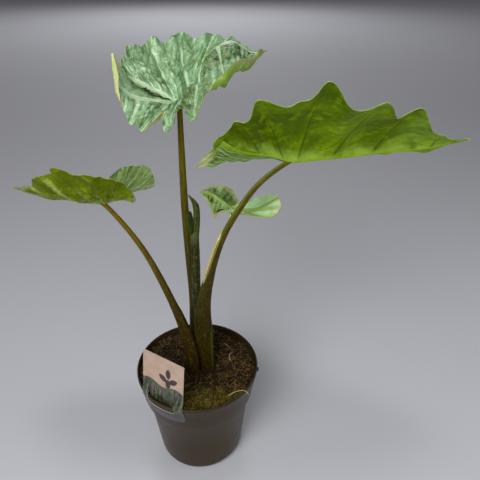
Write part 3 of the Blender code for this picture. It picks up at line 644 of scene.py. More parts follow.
# %% Thickness of a blade
BLADE = 0.9                    # thickness between the veins
NOTES = ("from_vein", "from_rib", "aslant", "vein_number", "outward", "swell", "body", "pale",
         "shade")


def body_at(leaf, half, v, t, from_vein, from_rib):
    """Thickness in millimetres at one point. Keel is how far a rib stands out by the stem, and
    keel_fall how fast it thins towards its end; vein_ridge is how far a side vein stands out."""
    station = half.station(v)
    wide = 1.0 + 1.9 * (1 - abs(station))
    on_rib = math.exp(-(from_rib / wide) ** 2)
    fade = max(0.2, 1 - leaf.get("keel_fall", 0.8) * abs(station))
    stout = leaf["keel"] * fade * (0.8 if station < 0 else 1)
    fall = max(0, 1 - abs(t)) ** 0.5
    on_vein = fall * math.exp(-(from_vein / (0.5 + 0.8 * fall)) ** 2) * min(1, abs(t) * 12)
    on_vein *= 0 if t < 0 else 1
    vein = min(leaf["vein_ridge"], stout + 0.3) * on_vein
    return BLADE + max(stout * on_rib, vein)


stoutest = BLADE + max(leaf["keel"] for leaf in LEAVES.values())
print("stoutest rib:", round(stoutest, 1), "mm")

# %% [markdown]
# Two more notes are for the paint. A leaf turns pale and yellow first at its ends and margins.
# The hollows of its relief and its folded lobes look darker, because less light reaches them, and
# some bands look lighter where the light catches them; both are painted as shade and light.
# Both follow the veins, so they are kept at the points too, where the materials can read them.

# %% Pale ends and shaded hollows
def pale_at(leaf, half, v, t):
    """How pale and yellow the blade is, from 0 to 1: at its tip, at the back lobe up to vein
    number pale, along a whole margin by margin_pale, and on strips of a margin, each between two
    vein numbers and from a distance on, that edge gives."""
    amount = step_between(half.last - 0.12, half.last - 0.02, v) * 0.7
    reach = leaf.get("pale_" + half.side, 0)
    if reach:
        ends = 1 - step_between(reach * 0.5, reach, v)
        amount = max(amount, ends * step_between(0.35, 0.75, t))
        strip = 1 - step_between(reach * 0.3, reach * 0.7, v)
        amount = max(amount, strip * step_between(0.0, 0.3, -t))
    ragged = 0.5 + noise.noise(Vector((3 * v, 2.5 * t, 1)))
    margin = leaf.get("margin_pale", 0) * step_between(0.72, 0.97, t + 0.15 * ragged)
    for v0, v1, start in leaf.get("edge_" + half.side, ()):
        if v0 < v < v1:
            margin = max(margin, step_between(start, start + 0.05, t + 0.08 * ragged))
    return max(amount, margin)


def shade_at(leaf, half, v, t):
    """Painted shade and light: above 0 painted shade in a hollow, beyond 1 the deep painted shadow
    of a slit, and below 0 a painted light band. Each field of shade runs between two vein numbers
    and two distances, and has a depth. Shut is the depth of painted shade in the folded strip
    between the back ribs and the inner margins."""
    shade = 0.0
    for v0, v1, t0, t1, depth in leaf.get("shade_" + half.side, ()):
        ramp = min(0.4, (v1 - v0) / 3)
        along = step_between(v0, v0 + ramp, v) * (1 - step_between(v1 - ramp, v1, v))
        inside = step_between(t0, t0 + 0.08, t) * (1 - step_between(t1 - 0.15, t1, t))
        shade += depth * along * inside
    near_stem = 1 - step_between(0.4, 0.75, abs(half.station(v)))
    return shade + leaf.get("shut", 0) * step_between(0.13, 0.2, -t) * (0.4 + 0.6 * near_stem)


print("shaded fields:", sum(len(leaf["shade_near"] + leaf["shade_far"]) for leaf in LEAVES.values()))

# %% [markdown]
# The two halves of a leaf are made apart and joined along the midrib, where their points meet.
# Then come the thickness and three materials: for the upper side, the underside and the cut edge.

# %% A whole blade
def make_blade(key, leaf, finishes, slot):
    """One leaf as one piece. Its turned is -1 where the upper side faces away from up."""
    columns = blade_columns(leaf["fine"][1])
    halves = []
    for side in ("near", "far"):
        half = Half(leaf, side)
        places, raw = half_surface(half, columns)
        notes = []
        for from_vein, from_rib, aslant, v, t, swell in raw:
            body = body_at(leaf, half, v, t, from_vein, from_rib)
            notes.append((from_vein, from_rib, aslant, v, t, swell, body,
                          pale_at(leaf, half, v, t), shade_at(leaf, half, v, t)))
        sheet = shaped_grid(side, len(half.rows()), len(columns), places, notes, NOTES)
        face_towards(sheet, half.up(half.last / 2) * leaf.get("turned", 1))
        thick = [item.value for item in sheet.data.attributes["body"].data]
        group = sheet.vertex_groups.new(name="body")
        for k, value in enumerate(thick):
            group.add([k], min(1.0, value / (leaf["keel"] + BLADE)), "REPLACE")
        halves.append(sheet)
    blade = join(*halves)
    edit(blade)
    bpy.ops.mesh.remove_doubles(threshold=MERGE)
    done()
    for finish in finishes:
        blade.data.materials.append(finish)
    apply_modifier(blade, "SOLIDIFY", thickness=(leaf["keel"] + BLADE) * MM, offset=-1,
                   vertex_group="body", thickness_vertex_group=0.0, use_rim=True,
                   material_offset=1, material_offset_rim=2, use_quality_normals=True)
    select_only(blade)
    bpy.ops.object.shade_smooth_by_angle(angle=math.radians(60))
    settle(blade, key + "_leaf", slot, "blade_" + key)


# %% [markdown]
# Each stem has its path, from its foot in the peat, or from the sheath of the largest one, to its
# blade, and its half width across and half depth along that path, at the numbers of the path's
# points. The new leaf has three such paths, for its sheath, its roll and its open margin.

# %% Paths of the stems and of the new leaf
PETIOLES = {
    "right": {
        "path": ((14, 2, 138), (14, -2, 190), (13, -7, 250), (16, -9, 307), (29, -12, 364),
                 (43, -13, 409), (61, -13, 446), (90, -8, 487), (125, -1, 513), (140, 0, 516)),
        "across": ((0, 12.0), (1, 12.8), (2, 14.6), (3, 10.0), (4, 5.6), (5, 4.5), (6, 4.1),
                   (7, 3.5), (8, 3.0), (9, 1.5)),
        "deep": ((0, 9.8), (1, 9.6), (2, 8.6), (3, 8.0), (4, 5.6), (5, 4.5), (8, 3.0), (9, 1.5)),
    },
    "left": {
        "path": ((-6, -13, 138), (-6, -13, 180), (-8, -12, 215), (-15, -11, 252),
                 (-31, -10, 308), (-55, -10, 376), (-77, -9, 419), (-105, -6, 457),
                 (-120, -2, 461)),
        "across": ((0, 10.0), (1, 10.6), (2, 9.6), (3, 7.8), (4, 5.4), (5, 4.1), (6, 3.5), (7, 3.0),
                   (8, 1.6)),
        "deep": ((0, 7.8), (1, 7.8), (2, 7.4), (3, 6.8), (4, 5.0), (5, 4.1), (6, 3.5), (7, 3.0),
                 (8, 1.6)),
    },
    "top": {
        "path": ((-8, 11, 138), (-6, 15, 195), (-4, 18, 250), (-3, 18, 300), (-5, 15, 380),
                 (-6, 13, 456), (-5, 11, 530), (-4, 10, 580)),
        "across": ((0, 7.4), (2, 6.4), (3, 5.9), (4, 5.4), (5, 4.9), (6, 3.9), (7, 3.2)),
        "deep": ((0, 7.4), (2, 6.4), (3, 5.9), (4, 5.4), (5, 4.9), (6, 3.9), (7, 3.2)),
    },
    "small": {
        "path": ((16, -13, 337), (24, -17, 366), (36, -19, 404), (46, -9, 422), (54, 7, 428),
                 (55, 18, 443)),
        "across": ((0, 0.8), (0.5, 2.2), (1, 3.1), (2, 2.8), (3, 2.4), (4, 2.0), (5, 1.7)),
        "deep": ((0, 0.8), (0.5, 2.2), (1, 3.1), (2, 2.8), (3, 2.4), (4, 2.0), (5, 1.7)),
    },
}
SHEATH = {
    "path": ((11, 20, 138), (9, 15, 200), (7, 10, 250), (4, 6, 300), (5, 5, 360), (6, 4, 412)),
    "across": ((0, 6.2), (2, 6.4), (4, 6.4), (5, 6.2)),
}
ROLL = {
    "path": ((6, 4, 385), (8.5, 4, 412), (10, 4, 433), (9.5, 4, 452), (1, 3, 468)),
    "across": ((0, 3.8), (1, 4.5), (2, 4.9), (3, 4.4), (3.4, 2.8), (4, 0.5)),
}
FLAP = {
    "path": ((4, 1, 408), (2.2, 0, 424), (1.2, 0, 436), (1.6, 0, 445)),
    "across": ((0, 2.6), (1, 4.2), (2, 4.4), (3, 4.2)),
}
print("stems:", ", ".join(PETIOLES))

# %% [markdown]
# The paint follows the notes at the points, so its veins lie on the modelled ones. The finer
# veins are lines aslant to the side veins, and colour also runs in streaks along these. A picture
# of a leaf would be quicker, but it would slide off the folds and look soft from close by.

# %% Fine veins, creases and streaks
def fine_veins(paint, step, sharp):
    """Thin lines of the finer veins, as a height from 0 to 1."""
    wobble = paint.noise(paint.place(), 60, 2)
    along = paint.maths("ADD", paint.maths("DIVIDE", paint.value("aslant"), step), wobble)
    wave = paint.maths("SINE", paint.maths("MULTIPLY", along, 2 * math.pi))
    wave = paint.maths("ADD", paint.maths("MULTIPLY", wave, 0.5), 0.5)
    return paint.maths("POWER", wave, sharp)


def creases(paint, place):
    """Soft cells with narrow borders between them, as a height from 0 to 1."""
    inputs = {"Vector": place, "Scale": 150, "Randomness": 1.0}
    cells = paint.add("ShaderNodeTexVoronoi", inputs, feature="SMOOTH_F1").outputs["Distance"]
    return paint.fade(cells, 0.75, 0.1)


def vein_streaks(paint, across, along):
    """Streaks that follow the side veins, as a noise around 0.5."""
    inputs = {"X": paint.maths("MULTIPLY", paint.value("vein_number"), across),
              "Y": paint.maths("MULTIPLY", paint.value("outward"), along)}
    return paint.noise(paint.add("ShaderNodeCombineXYZ", inputs).outputs[0], 1, 3)


# %% [markdown]
# An upper side is silvery or plain green, with pale ribs, and its hollows are painted darker and
# olive, as painted shade. It is laid on in the order in which a painter would do it: broad clouds
# first, then flecks, streaks and ridges of painted highlight and shade, painted shade in the
# hollows, and the veins last. Small bumps from the finer veins break up its waxy shine.

# %% Paint of an upper side
def upper_paint(name, deep, plain, silver, rib_and_highlight_colour, pale, spots, swell, gloss, bands=0,
                shine=0.25):
    """Colours of an upper side. Spots are dark flecks, swell is how strongly streaks and ridges get a
    painted highlight and creases painted shade, and bands are light and dark stripes along the side
    veins."""
    paint = Paint(name)
    place = paint.place()
    broad = paint.noise(place, 22, 3, 0.6, 0.6)
    small = paint.noise(place, 95, 5, 0.65, 0.8)
    colour = paint.mix(paint.fade(broad, 0.35, 0.62), plain, silver)
    colour = paint.mix(paint.fade(small, 0.52, 0.7, 0, spots), colour, deep)
    lines = fine_veins(paint, 4.3, 5)
    colour = paint.mix(paint.maths("MULTIPLY", lines, 0.3), colour, silver)
    # Streaks along the side veins are painted highlight, in the pale rib colour, and painted shade.
    streak = vein_streaks(paint, 8, 1.6)
    colour = paint.mix(paint.fade(streak, 0.48, 0.34, 0, 1.2 * swell), colour, deep)
    colour = paint.mix(paint.fade(streak, 0.53, 0.68, 0, 1.4 * swell), colour, rib_and_highlight_colour)
    # Ridges of the relief get a painted highlight, and its creases painted shade.
    ridge = paint.value("swell")
    colour = paint.mix(paint.fade(ridge, -0.1, -0.7, 0, swell), colour, deep)
    colour = paint.mix(paint.fade(ridge, 0.2, 0.8, 0, swell), colour, silver)
    shade = paint.value("shade")
    if bands:
        wave = paint.maths("ADD", paint.value("vein_number"), paint.maths("MULTIPLY", small, 0.4))
        wave = paint.maths("SINE", paint.maths("MULTIPLY", wave, 2 * math.pi * bands))
        wave = paint.maths("MULTIPLY", wave, paint.fade(shade, -0.7, 0))
        colour = paint.mix(paint.fade(wave, 0.2, 0.9, 0, 0.5), colour, rib_and_highlight_colour)
        colour = paint.mix(paint.fade(wave, -0.2, -0.9, 0, 0.5), colour, deep)
    # Painted shade lies in the hollows, as olive patches crossed by the finer veins.
    patches = paint.fade(paint.noise(place, 120, 3, 0.6), 0.4, 0.56, 0.3, 1)
    painted_hollow_shade = paint.mix(paint.fade(small, 0.4, 0.6), (0.03, 0.06, 0.006), (0.17, 0.27, 0.06))
    colour = paint.mix(paint.maths("MULTIPLY", paint.fade(shade, 0, 1), patches), colour, painted_hollow_shade)
    # Light bands get a painted highlight, and slits a deep painted shadow.
    colour = paint.mix(paint.fade(shade, 0, -1, 0, 0.75), colour, silver)
    colour = paint.mix(paint.fade(shade, 1.1, 1.4), colour, (0.014, 0.03, 0.004))
    # A side vein is a pale line with a line of painted shade along it, and the midrib is broad and pale.
    fall = paint.fade(paint.value("outward"), 1.0, 0.5, 0, 0.8)
    shade_beside_vein = paint.fade(paint.value("from_vein"), 4.2, 2.4)
    colour = paint.mix(paint.maths("MULTIPLY", shade_beside_vein, paint.maths("MULTIPLY", fall, 0.5)),
                       colour, deep)
    vein = paint.maths("MULTIPLY", paint.fade(paint.value("from_vein"), 1.9, 0.8), fall)
    colour = paint.mix(vein, colour, rib_and_highlight_colour)
    main_rib = paint.fade(paint.value("from_rib"), 4.4, 2.8, 0, 0.95)
    colour = paint.mix(main_rib, colour, rib_and_highlight_colour)
    colour = paint.mix(paint.value("pale"), colour, pale)
    rough = paint.fade(small, 0.3, 0.7, shine, shine + 0.2)
    height = paint.maths("ADD", paint.maths("MULTIPLY", lines, 0.6), paint.noise(place, 240, 3))
    height = paint.maths("ADD", height, creases(paint, place))
    normal = paint.bump(height, 0.4, 0.0012)
    return paint.finish(colour, rough, normal, Specular_IOR_Level=gloss)


# %% [markdown]
# An underside is a yellow green, painted more vivid to stand for the light that comes through it,
# and it hardly shines. Beside its side veins lie thin lines of painted shade, and wax makes it
# paler beside the ribs and in long streaks. Its hollows and creases get painted shade, and its
# ridges and light bands painted light.

# %% Paint of an underside
def under_paint(name, deep, plain, bright, vein_shade_colour, wax_and_light_colour, pale, strips, streaks=0.3,
                shine=0.45):
    """Colours of an underside; strips are those between a back rib and the inner margin."""
    paint = Paint(name)
    place = paint.place()
    broad = paint.noise(place, 16, 3, 0.55, 0.5)
    small = paint.noise(place, 110, 5, 0.6, 0.4)
    colour = paint.mix(paint.fade(broad, 0.34, 0.66), deep, plain)
    colour = paint.mix(paint.fade(small, 0.5, 0.7, 0, 0.6), colour, bright)
    lines = fine_veins(paint, 4.5, 4)
    colour = paint.mix(paint.maths("MULTIPLY", lines, 0.3), colour, deep)
    wax_and_light_bands = paint.fade(paint.value("from_rib"), 26, 3)
    wax_and_light_bands = paint.maths("MULTIPLY", wax_and_light_bands, paint.fade(paint.noise(place, 45, 3), 0.36, 0.6, 0.1, 0.9))
    # Wax also lies in long streaks, which follow the side veins.
    streak = paint.fade(vein_streaks(paint, 3.4, 1.3), 0.48, 0.66, 0, streaks)
    streak = paint.maths("MULTIPLY", streak, paint.fade(paint.value("outward"), 0.95, 0.3))
    wax_and_light_bands = paint.maths("MAXIMUM", wax_and_light_bands, streak)
    # Hollows get painted shade, and light bands painted light, in the colour of the wax.
    shade = paint.value("shade")
    soft = paint.fade(small, 0.35, 0.6, 0.6, 1)
    colour = paint.mix(paint.maths("MULTIPLY", paint.fade(shade, 0, 1), soft), colour, deep)
    wax_and_light_bands = paint.maths("MAXIMUM", wax_and_light_bands, paint.maths("MULTIPLY", paint.fade(shade, 0, -1), soft))
    colour = paint.mix(wax_and_light_bands, colour, wax_and_light_colour)
    # Ridges of the ripples get painted light, and their creases painted shade.
    ripples = paint.value("swell")
    colour = paint.mix(paint.fade(ripples, 0.0, -0.7, 0, 0.5), colour, deep)
    colour = paint.mix(paint.fade(ripples, 0.1, 0.7, 0, 0.5), colour, bright)
    folds = paint.mix(paint.fade(vein_streaks(paint, 1.6, 60), 0.42, 0.58), *strips)
    colour = paint.mix(paint.fade(paint.value("outward"), -0.01, -0.07), colour, folds)
    # Beside the side veins lie thin lines of painted shade, and the ribs have a lighter crest.
    thin = paint.fade(paint.value("from_vein"), 1.0, 0.2)
    thin = paint.maths("MULTIPLY", thin, paint.fade(paint.value("outward"), 1.0, 0.55, 0, 0.55))
    thin = paint.maths("MULTIPLY", thin, paint.fade(paint.value("outward"), 0.0, 0.06))
    colour = paint.mix(thin, colour, vein_shade_colour)
    colour = paint.mix(paint.fade(paint.value("from_rib"), 1.8, 0.6, 0, 0.7), colour, bright)
    colour = paint.mix(paint.value("pale"), colour, pale)
    rough = paint.fade(small, 0.3, 0.7, shine, shine + 0.15)
    height = paint.maths("ADD", paint.maths("MULTIPLY", lines, 0.5), paint.noise(place, 200, 3))
    normal = paint.bump(height, 0.5, 0.0008)
    return paint.finish(colour, rough, normal, Specular_IOR_Level=0.05)


# %% [markdown]
# The cut edge is a thin yellow green line, brown in places on the left leaf. With it, all paints
# of the leaves can be mixed: three upper sides and three undersides, each with its own greens.

# %% Cut edges and the colours of the leaves
def edge_paint(name, base, brown):
    """A thin edge with patches of a second colour."""
    paint = Paint(name)
    patch = paint.noise(paint.place(), 80, 3)
    colour = paint.mix(paint.fade(patch, 0.45, 0.7), base, brown)
    return paint.finish(colour, paint.fade(patch, 0.3, 0.7, 0.5, 0.7))


STRAW = (0.55, 0.55, 0.25)
green_edge = edge_paint("green_edge", (0.25, 0.36, 0.08), (0.36, 0.4, 0.12))
brown_edge = edge_paint("brown_edge", (0.3, 0.34, 0.08), (0.3, 0.13, 0.03))
silver_upper = upper_paint("silver_upper", (0.075, 0.165, 0.035), (0.2, 0.38, 0.16),
                           (0.34, 0.57, 0.3), (0.62, 0.83, 0.52), STRAW, 0.3, 0.6, 0.8,
                           shine=0.2)
green_upper = upper_paint("green_upper", (0.035, 0.085, 0.008), (0.11, 0.19, 0.03),
                          (0.23, 0.34, 0.11), (0.4, 0.52, 0.2), STRAW, 0.7, 0.6, 0.3)
young_upper = upper_paint("young_upper", (0.035, 0.09, 0.004), (0.095, 0.18, 0.02),
                          (0.48, 0.74, 0.36), (0.26, 0.38, 0.07), STRAW, 0.5, 0.4, 0.3, bands=2.2)
vivid_under = under_paint("vivid_under", (0.075, 0.13, 0.0), (0.18, 0.3, 0.0),
                          (0.25, 0.41, 0.002), (0.04, 0.075, 0.0), (0.28, 0.44, 0.05), STRAW,
                          ((0.07, 0.12, 0.01), (0.24, 0.37, 0.13)), 0.12, 0.38)
olive_under = under_paint("olive_under", (0.085, 0.125, 0.0), (0.18, 0.25, 0.003),
                          (0.27, 0.36, 0.01), (0.05, 0.08, 0.0), (0.42, 0.52, 0.16), STRAW,
                          ((0.1, 0.13, 0.01), (0.26, 0.33, 0.08)), 0.25)
# The top leaf's underside, which shows on its rolled margin, is painted very light, as painted light,
# and its strips beside the back ribs dark, as painted shade inside the fold.
painted_light_under = under_paint("painted_light_under", (0.3, 0.5, 0.05), (0.56, 0.84, 0.15),
                          (0.74, 0.94, 0.35), (0.07, 0.12, 0.02), (0.7, 0.9, 0.35), STRAW,
                          ((0.05, 0.08, 0.01), (0.14, 0.22, 0.05)))
print("leaf paints:", green_edge.name, "to", painted_light_under.name)

# %% [markdown]
# The largest leaf and the left one are turned so that the underside shows, and share a plain
# green upper side. The top leaf shows its silvery upper side. The small leaf is young: its upper
# side is still banded, light along its veins and dark between them.

# %% The four blades
BLADES = {
    "right": ("leaf_green", green_upper, vivid_under, green_edge),
    "left": ("leaf_green", green_upper, olive_under, brown_edge),
    "top": ("leaf_silver_green", silver_upper, painted_light_under, green_edge),
    "small": ("leaf_silver_green", young_upper, olive_under, green_edge),
}
for key, (slot, *finishes) in BLADES.items():
    make_blade(key, LEAVES[key], finishes, slot)

# %% [markdown]
# The stems are long, fleshy and slightly grooved. Each was rolled round the next at its foot,
# so the foot is wider and has the edge of a sheath on one side. A curve with a round bevel would
# be quicker, but its section stays the same all along. So a stem is again a grid, whose columns
# run round it and whose rows follow a smooth path, with the seam merged and both ends closed.

# %% Rings of a stem
def stem_frames(path, rings, start=0.0, end=None):
    """Place, side direction and front direction of every ring, and its number on the path."""
    points = [point(*p) for p in path]
    end = len(points) - 1 if end is None else end
    side = Vector((1, 0, 0))
    frames = []
    for i in range(rings):
        u = start + (end - start) * i / (rings - 1)
        ahead = (smooth_curve(points, u + 0.02) - smooth_curve(points, u - 0.02)).normalized()
        side = (side - ahead * side.dot(ahead)).normalized()
        frames.append((u, smooth_curve(points, u), side.copy(), ahead.cross(side)))
    return frames


print("rings of the top stem:", len(stem_frames(PETIOLES["top"]["path"], 90)))


# %% A closed stem
def even(u, a):
    """The form of a stem with neither groove nor lap, the same at every ring and angle."""
    return 1.0


def make_stem(name, spec, rings, sides, finish, form=even, end=None):
    """A closed stem; form(u, a) changes the radius at ring u and angle a, in degrees."""
    places, notes, along = [], [], 0.0
    before = None
    for u, here, side, front in stem_frames(spec["path"], rings, end=end):
        along += (here - before).length / MM if before else 0
        before = here
        wide, deep = lerp_table(spec["across"], u), lerp_table(spec["deep"], u)
        for k in range(sides + 1):
            a = 2 * math.pi * (k % sides) / sides
            r = form(u, math.degrees(a) if a < math.pi else math.degrees(a) - 360) * MM
            places.append(here + side * (wide * math.cos(a) * r) + front * (deep * math.sin(a) * r))
            notes.append((math.cos(a), math.sin(a), along))
    obj = shaped_grid(name, rings, sides + 1, places, notes, ("turn_x", "turn_y", "along"))
    edit(obj)
    bpy.ops.mesh.remove_doubles(threshold=MERGE / 4)
    bpy.ops.mesh.select_all(action="SELECT")
    bpy.ops.mesh.fill_holes(sides=0)
    bpy.ops.mesh.select_all(action="SELECT")
    bpy.ops.mesh.normals_make_consistent(inside=False)
    done()
    obj.data.materials.append(finish)
    bpy.ops.object.shade_smooth_by_angle(angle=math.radians(50))
    return obj


# %% [markdown]
# A stem's skin is green with brown blotches and fine streaks, darker and browner towards its
# foot, and greener on the flank that was turned to the light; on the young stem that flank is a
# pale painted highlight. Streaks have to run along a stem
# that bends, so they are noise on three notes, the direction round it and the way along it, in
# place of coordinates of the object.

# %% Stem skins
def stem_paint(name, green, brown, dark, rise=(0, 1), foot=None, green_flank_and_highlight=None, lap=None,
               shine=0.4, gloss=0.1):
    """Foot has the two colours of the foot, and rise says between which heights along the stem
    they turn lighter. The flank argument gives where round the stem its greener flank begins and
    ends, with its colour; on the young stem that flank is a pale painted highlight. Lap is how high
    the edge of a sheath goes, with its colour."""
    paint = Paint(name)
    round_x, round_y = paint.value("turn_x"), paint.value("turn_y")
    along = paint.value("along")

    def streaked(stretch, scale, detail):
        inputs = {"X": round_x, "Y": round_y, "Z": paint.maths("MULTIPLY", along, stretch)}
        vector = paint.add("ShaderNodeCombineXYZ", inputs).outputs[0]
        return paint.noise(vector, scale, detail)

    fine = streaked(0.004, 9, 4)
    blotch = streaked(0.02, 2.2, 3)
    colour = paint.mix(paint.fade(blotch, 0.4, 0.62), green, brown)
    # A greener flank; on the young stem this is a pale painted highlight.
    if green_flank_and_highlight:
        colour = paint.mix(paint.fade(round_x, green_flank_and_highlight[0], green_flank_and_highlight[1]), colour, green_flank_and_highlight[2])
    if foot:
        low = paint.mix(paint.fade(blotch, 0.35, 0.65), foot[0], foot[1])
        colour = paint.mix(paint.fade(along, rise[0], rise[1]), low, colour)
    if lap:
        # The edge of the sheath is a narrow greener strip on the right.
        strip = paint.maths("MULTIPLY", paint.fade(round_x, 0.66, 0.76),
                            paint.fade(along, lap[0] + 25, lap[0]))
        colour = paint.mix(strip, colour, lap[1])
    colour = paint.mix(paint.fade(fine, 0.45, 0.7, 0, 0.5), colour, dark)
    speck = paint.noise(paint.place((1, 1, 0.4)), 620, 3)
    colour = paint.mix(paint.fade(speck, 0.52, 0.66, 0, 0.4), colour, green)
    colour = paint.mix(paint.fade(speck, 0.46, 0.34, 0, 0.45), colour, dark)
    normal = paint.bump(fine, 0.4, 0.0006)
    return paint.finish(colour, paint.fade(fine, 0.3, 0.7, shine, shine + 0.2), normal,
                        Specular_IOR_Level=gloss)


FOOT = ((0.032, 0.021, 0.0008), (0.016, 0.009, 0.0005))
right_paint = stem_paint("right_stem_skin", (0.13, 0.12, 0.007), (0.085, 0.046, 0.003),
                         (0.03, 0.018, 0.001), (110, 450), FOOT, (-0.35, -0.75, (0.17, 0.23, 0.02)),
                         (100, (0.07, 0.085, 0.008)))
left_paint = stem_paint("left_stem_skin", (0.2, 0.15, 0.007), (0.165, 0.09, 0.005),
                        (0.07, 0.04, 0.001), (90, 400),
                        ((0.018, 0.011, 0.0004), (0.01, 0.006, 0.0003)),
                        (-0.3, -0.8, (0.15, 0.21, 0.01)))
top_paint = stem_paint("top_stem_skin", (0.15, 0.13, 0.003), (0.12, 0.085, 0.002),
                       (0.05, 0.036, 0.001), (170, 470),
                       ((0.04, 0.037, 0.002), (0.024, 0.019, 0.0015)))
# The young stem's pale flank is a painted highlight.
young_paint = stem_paint("young_stem_skin", (0.24, 0.21, 0.012), (0.19, 0.115, 0.008),
                         (0.1, 0.075, 0.004), green_flank_and_highlight=(-0.05, -0.5, (0.66, 0.6, 0.16)), shine=0.1,
                         gloss=1.0)
print("stem skins:", right_paint.name, "to", young_paint.name)

# %% [markdown]
# The widest stem carries the largest leaf. Up to a third of its height it is a sheath: one edge
# laps over the other on the right, which shows as a greener strip with a step beside it. The
# left stem's sheath ends in a small step on its right side.

# %% The stems and their sheaths
def trunk_form(u, a):
    """Radius of the widest stem, with the lap, the ridge along its edge and a groove behind."""
    sheath = 1 - step_between(2.4, 3.3, u)
    lap = step_between(-34, -26, a) * (1 - step_between(70, 110, a))
    ridge = math.exp(-((a + 30) / 7) ** 2)
    groove = math.exp(-((a - 165) / 12) ** 2)
    return 1 - 0.07 * sheath * lap + 0.03 * sheath * ridge - 0.08 * sheath * groove


def left_form(u, a):
    """Radius of the left stem, fuller on its right side up to the end of its sheath."""
    sheath = 1 - step_between(3.62, 3.8, u)
    lap = step_between(-60, -45, a) * (1 - step_between(45, 60, a))
    return 1 + 0.13 * sheath * lap * step_between(1.5, 3.0, u)


# For each: rings, sides, skin, form, and where on its path it ends, if before the path does.
STEMS = {
    "right": (120, 40, right_paint, trunk_form, None),
    "left": (100, 28, left_paint, left_form, None),
    "top": (90, 24, top_paint, even, 6.98),
    "small": (40, 20, young_paint, even, 4.98),
}
for key, how in STEMS.items():
    stem = make_stem(key + "_stem", PETIOLES[key], *how)
    settle(stem, key + "_stem", "petiole", "petiole_" + key)

# %% [markdown]
# The new leaf is still rolled like a cigar. It stands in its sheath, which is open at the top
# and has a dry, torn edge. Both could be tubes, but at the top the eye looks right into them. So
# each is one sheet wound round its path, the roll nearly twice and the sheath not quite once,
# and one margin of the leaf stands clear as a flap. Its tip is brown and slightly hooked.

# %% Paint of the new leaf
def dark_paint(name, deep, plain, pale, flecks, tip):
    """Dark green with streaks along it, pale flecks and margin, and a tip of another colour."""
    paint = Paint(name)
    place = paint.place((1, 1, 0.12))
    streak = paint.noise(place, 420, 3)
    fleck = paint.noise(paint.place((1, 1, 0.5)), 330, 4, 0.7)
    colour = paint.mix(paint.fade(streak, 0.35, 0.65), deep, plain)
    colour = paint.mix(paint.fade(fleck, 0.5, 0.64, 0, flecks), colour, pale)
    colour = paint.mix(paint.fade(fleck, 0.44, 0.36, 0, 0.7), colour, deep)
    colour = paint.mix(paint.value("edge"), colour, pale)
    colour = paint.mix(paint.value("tip"), colour, tip)
    normal = paint.bump(streak, 0.5, 0.0007)
    return paint.finish(colour, paint.fade(streak, 0.3, 0.7, 0.4, 0.6), normal,
                        Specular_IOR_Level=0.12)


roll_paint = dark_paint("rolled_leaf", (0.02, 0.03, 0.002), (0.065, 0.085, 0.01),
                        (0.2, 0.24, 0.07), 0.25, (0.09, 0.045, 0.015))
sheath_paint = dark_paint("leaf_sheath", (0.011, 0.013, 0.001), (0.032, 0.034, 0.004),
                          (0.13, 0.125, 0.04), 0.65, (0.085, 0.095, 0.03))
flap_paint = dark_paint("open_margin", (0.008, 0.014, 0.001), (0.022, 0.036, 0.003),
                        (0.15, 0.2, 0.05), 0.15, (0.09, 0.045, 0.015))
print("paints of the new leaf:", roll_paint.name, sheath_paint.name, flap_paint.name)


# %% A sheet wound round a path
def wound_sheet(name, path, radius, first, turns, rows, columns, shrink, thick, finish, rag=0.0):
    """A sheet wound round the path from angle first on, turns(u) times at ring u. Shrink is how
    much narrower it ends inside, thick its wall and rag how torn its upper edge is."""
    places, notes = [], []
    for row, (u, here, side, front) in enumerate(stem_frames(path, rows)):
        for k in range(columns):
            w = k / (columns - 1)
            a = math.radians(first) + 2 * math.pi * turns(u) * w
            r = lerp_table(radius, u) * (1 - shrink * w)
            place = here + (side * math.cos(a) + front * math.sin(a)) * (r * MM)
            if rag and row == rows - 1:
                place.z += rag * MM * noise.noise(Vector((9 * w, 2.1, 0.4)))
            places.append(place)
            edge = 1 - min(w, 1 - w) * columns / 1.5
            notes.append((max(0.0, min(0.7, edge)), step_between(0.9, 1.0, row / (rows - 1))))
    obj = shaped_grid(name, rows, columns, places, notes, ("edge", "tip"))
    apply_modifier(obj, "SOLIDIFY", thickness=thick * MM, offset=-1)
    obj.data.materials.append(finish)
    select_only(obj)
    bpy.ops.object.shade_smooth_by_angle(angle=math.radians(50))
    return obj


roll = wound_sheet("roll", ROLL["path"], ROLL["across"], 200, lambda u: 1.7, 60, 56, 0.3, 0.45,
                   roll_paint)
print("roll:", len(roll.data.polygons), "faces")


# %% The open margin and the sheath
def make_flap():
    """The margin that stands clear of the roll, a narrow strip curved across."""
    places, notes = [], []
    rows, columns = 24, 9
    for row, (u, here, side, front) in enumerate(stem_frames(FLAP["path"], rows, 0.3)):
        end = math.sin(math.pi * min(1, 0.35 + 0.65 * row / (rows - 1))) ** 0.4
        wide = max(0.3, lerp_table(FLAP["across"], u) * end)
        for k in range(columns):
            w = 2 * k / (columns - 1) - 1
            place = here + side * (wide * w * MM) + front * (1.6 * w * w * MM)
            places.append(place)
            notes.append((0.75 if k == 0 else 0.0, 0.0))
    obj = shaped_grid("flap", rows, columns, places, notes, ("edge", "tip"))
    apply_modifier(obj, "SOLIDIFY", thickness=0.6 * MM, offset=0)
    obj.data.materials.append(flap_paint)
    select_only(obj)
    bpy.ops.object.shade_smooth_by_angle(angle=math.radians(50))
    return obj


def sheath_turns(u):
    """The sheath all but closes, and opens by a tenth of a turn towards its top."""
    return 0.995 - 0.1 * step_between(3.6, 5, u)


new_leaf = join(roll, make_flap())
settle(new_leaf, "new_leaf_roll", "new_leaf_green", "new_leaf")
sheath = wound_sheet("sheath", SHEATH["path"], SHEATH["across"], 20, sheath_turns, 120, 48, 0.0,
                     0.9, sheath_paint, rag=5.0)
settle(sheath, "new_leaf_sleeve", "new_leaf_green", "new_leaf_sheath")

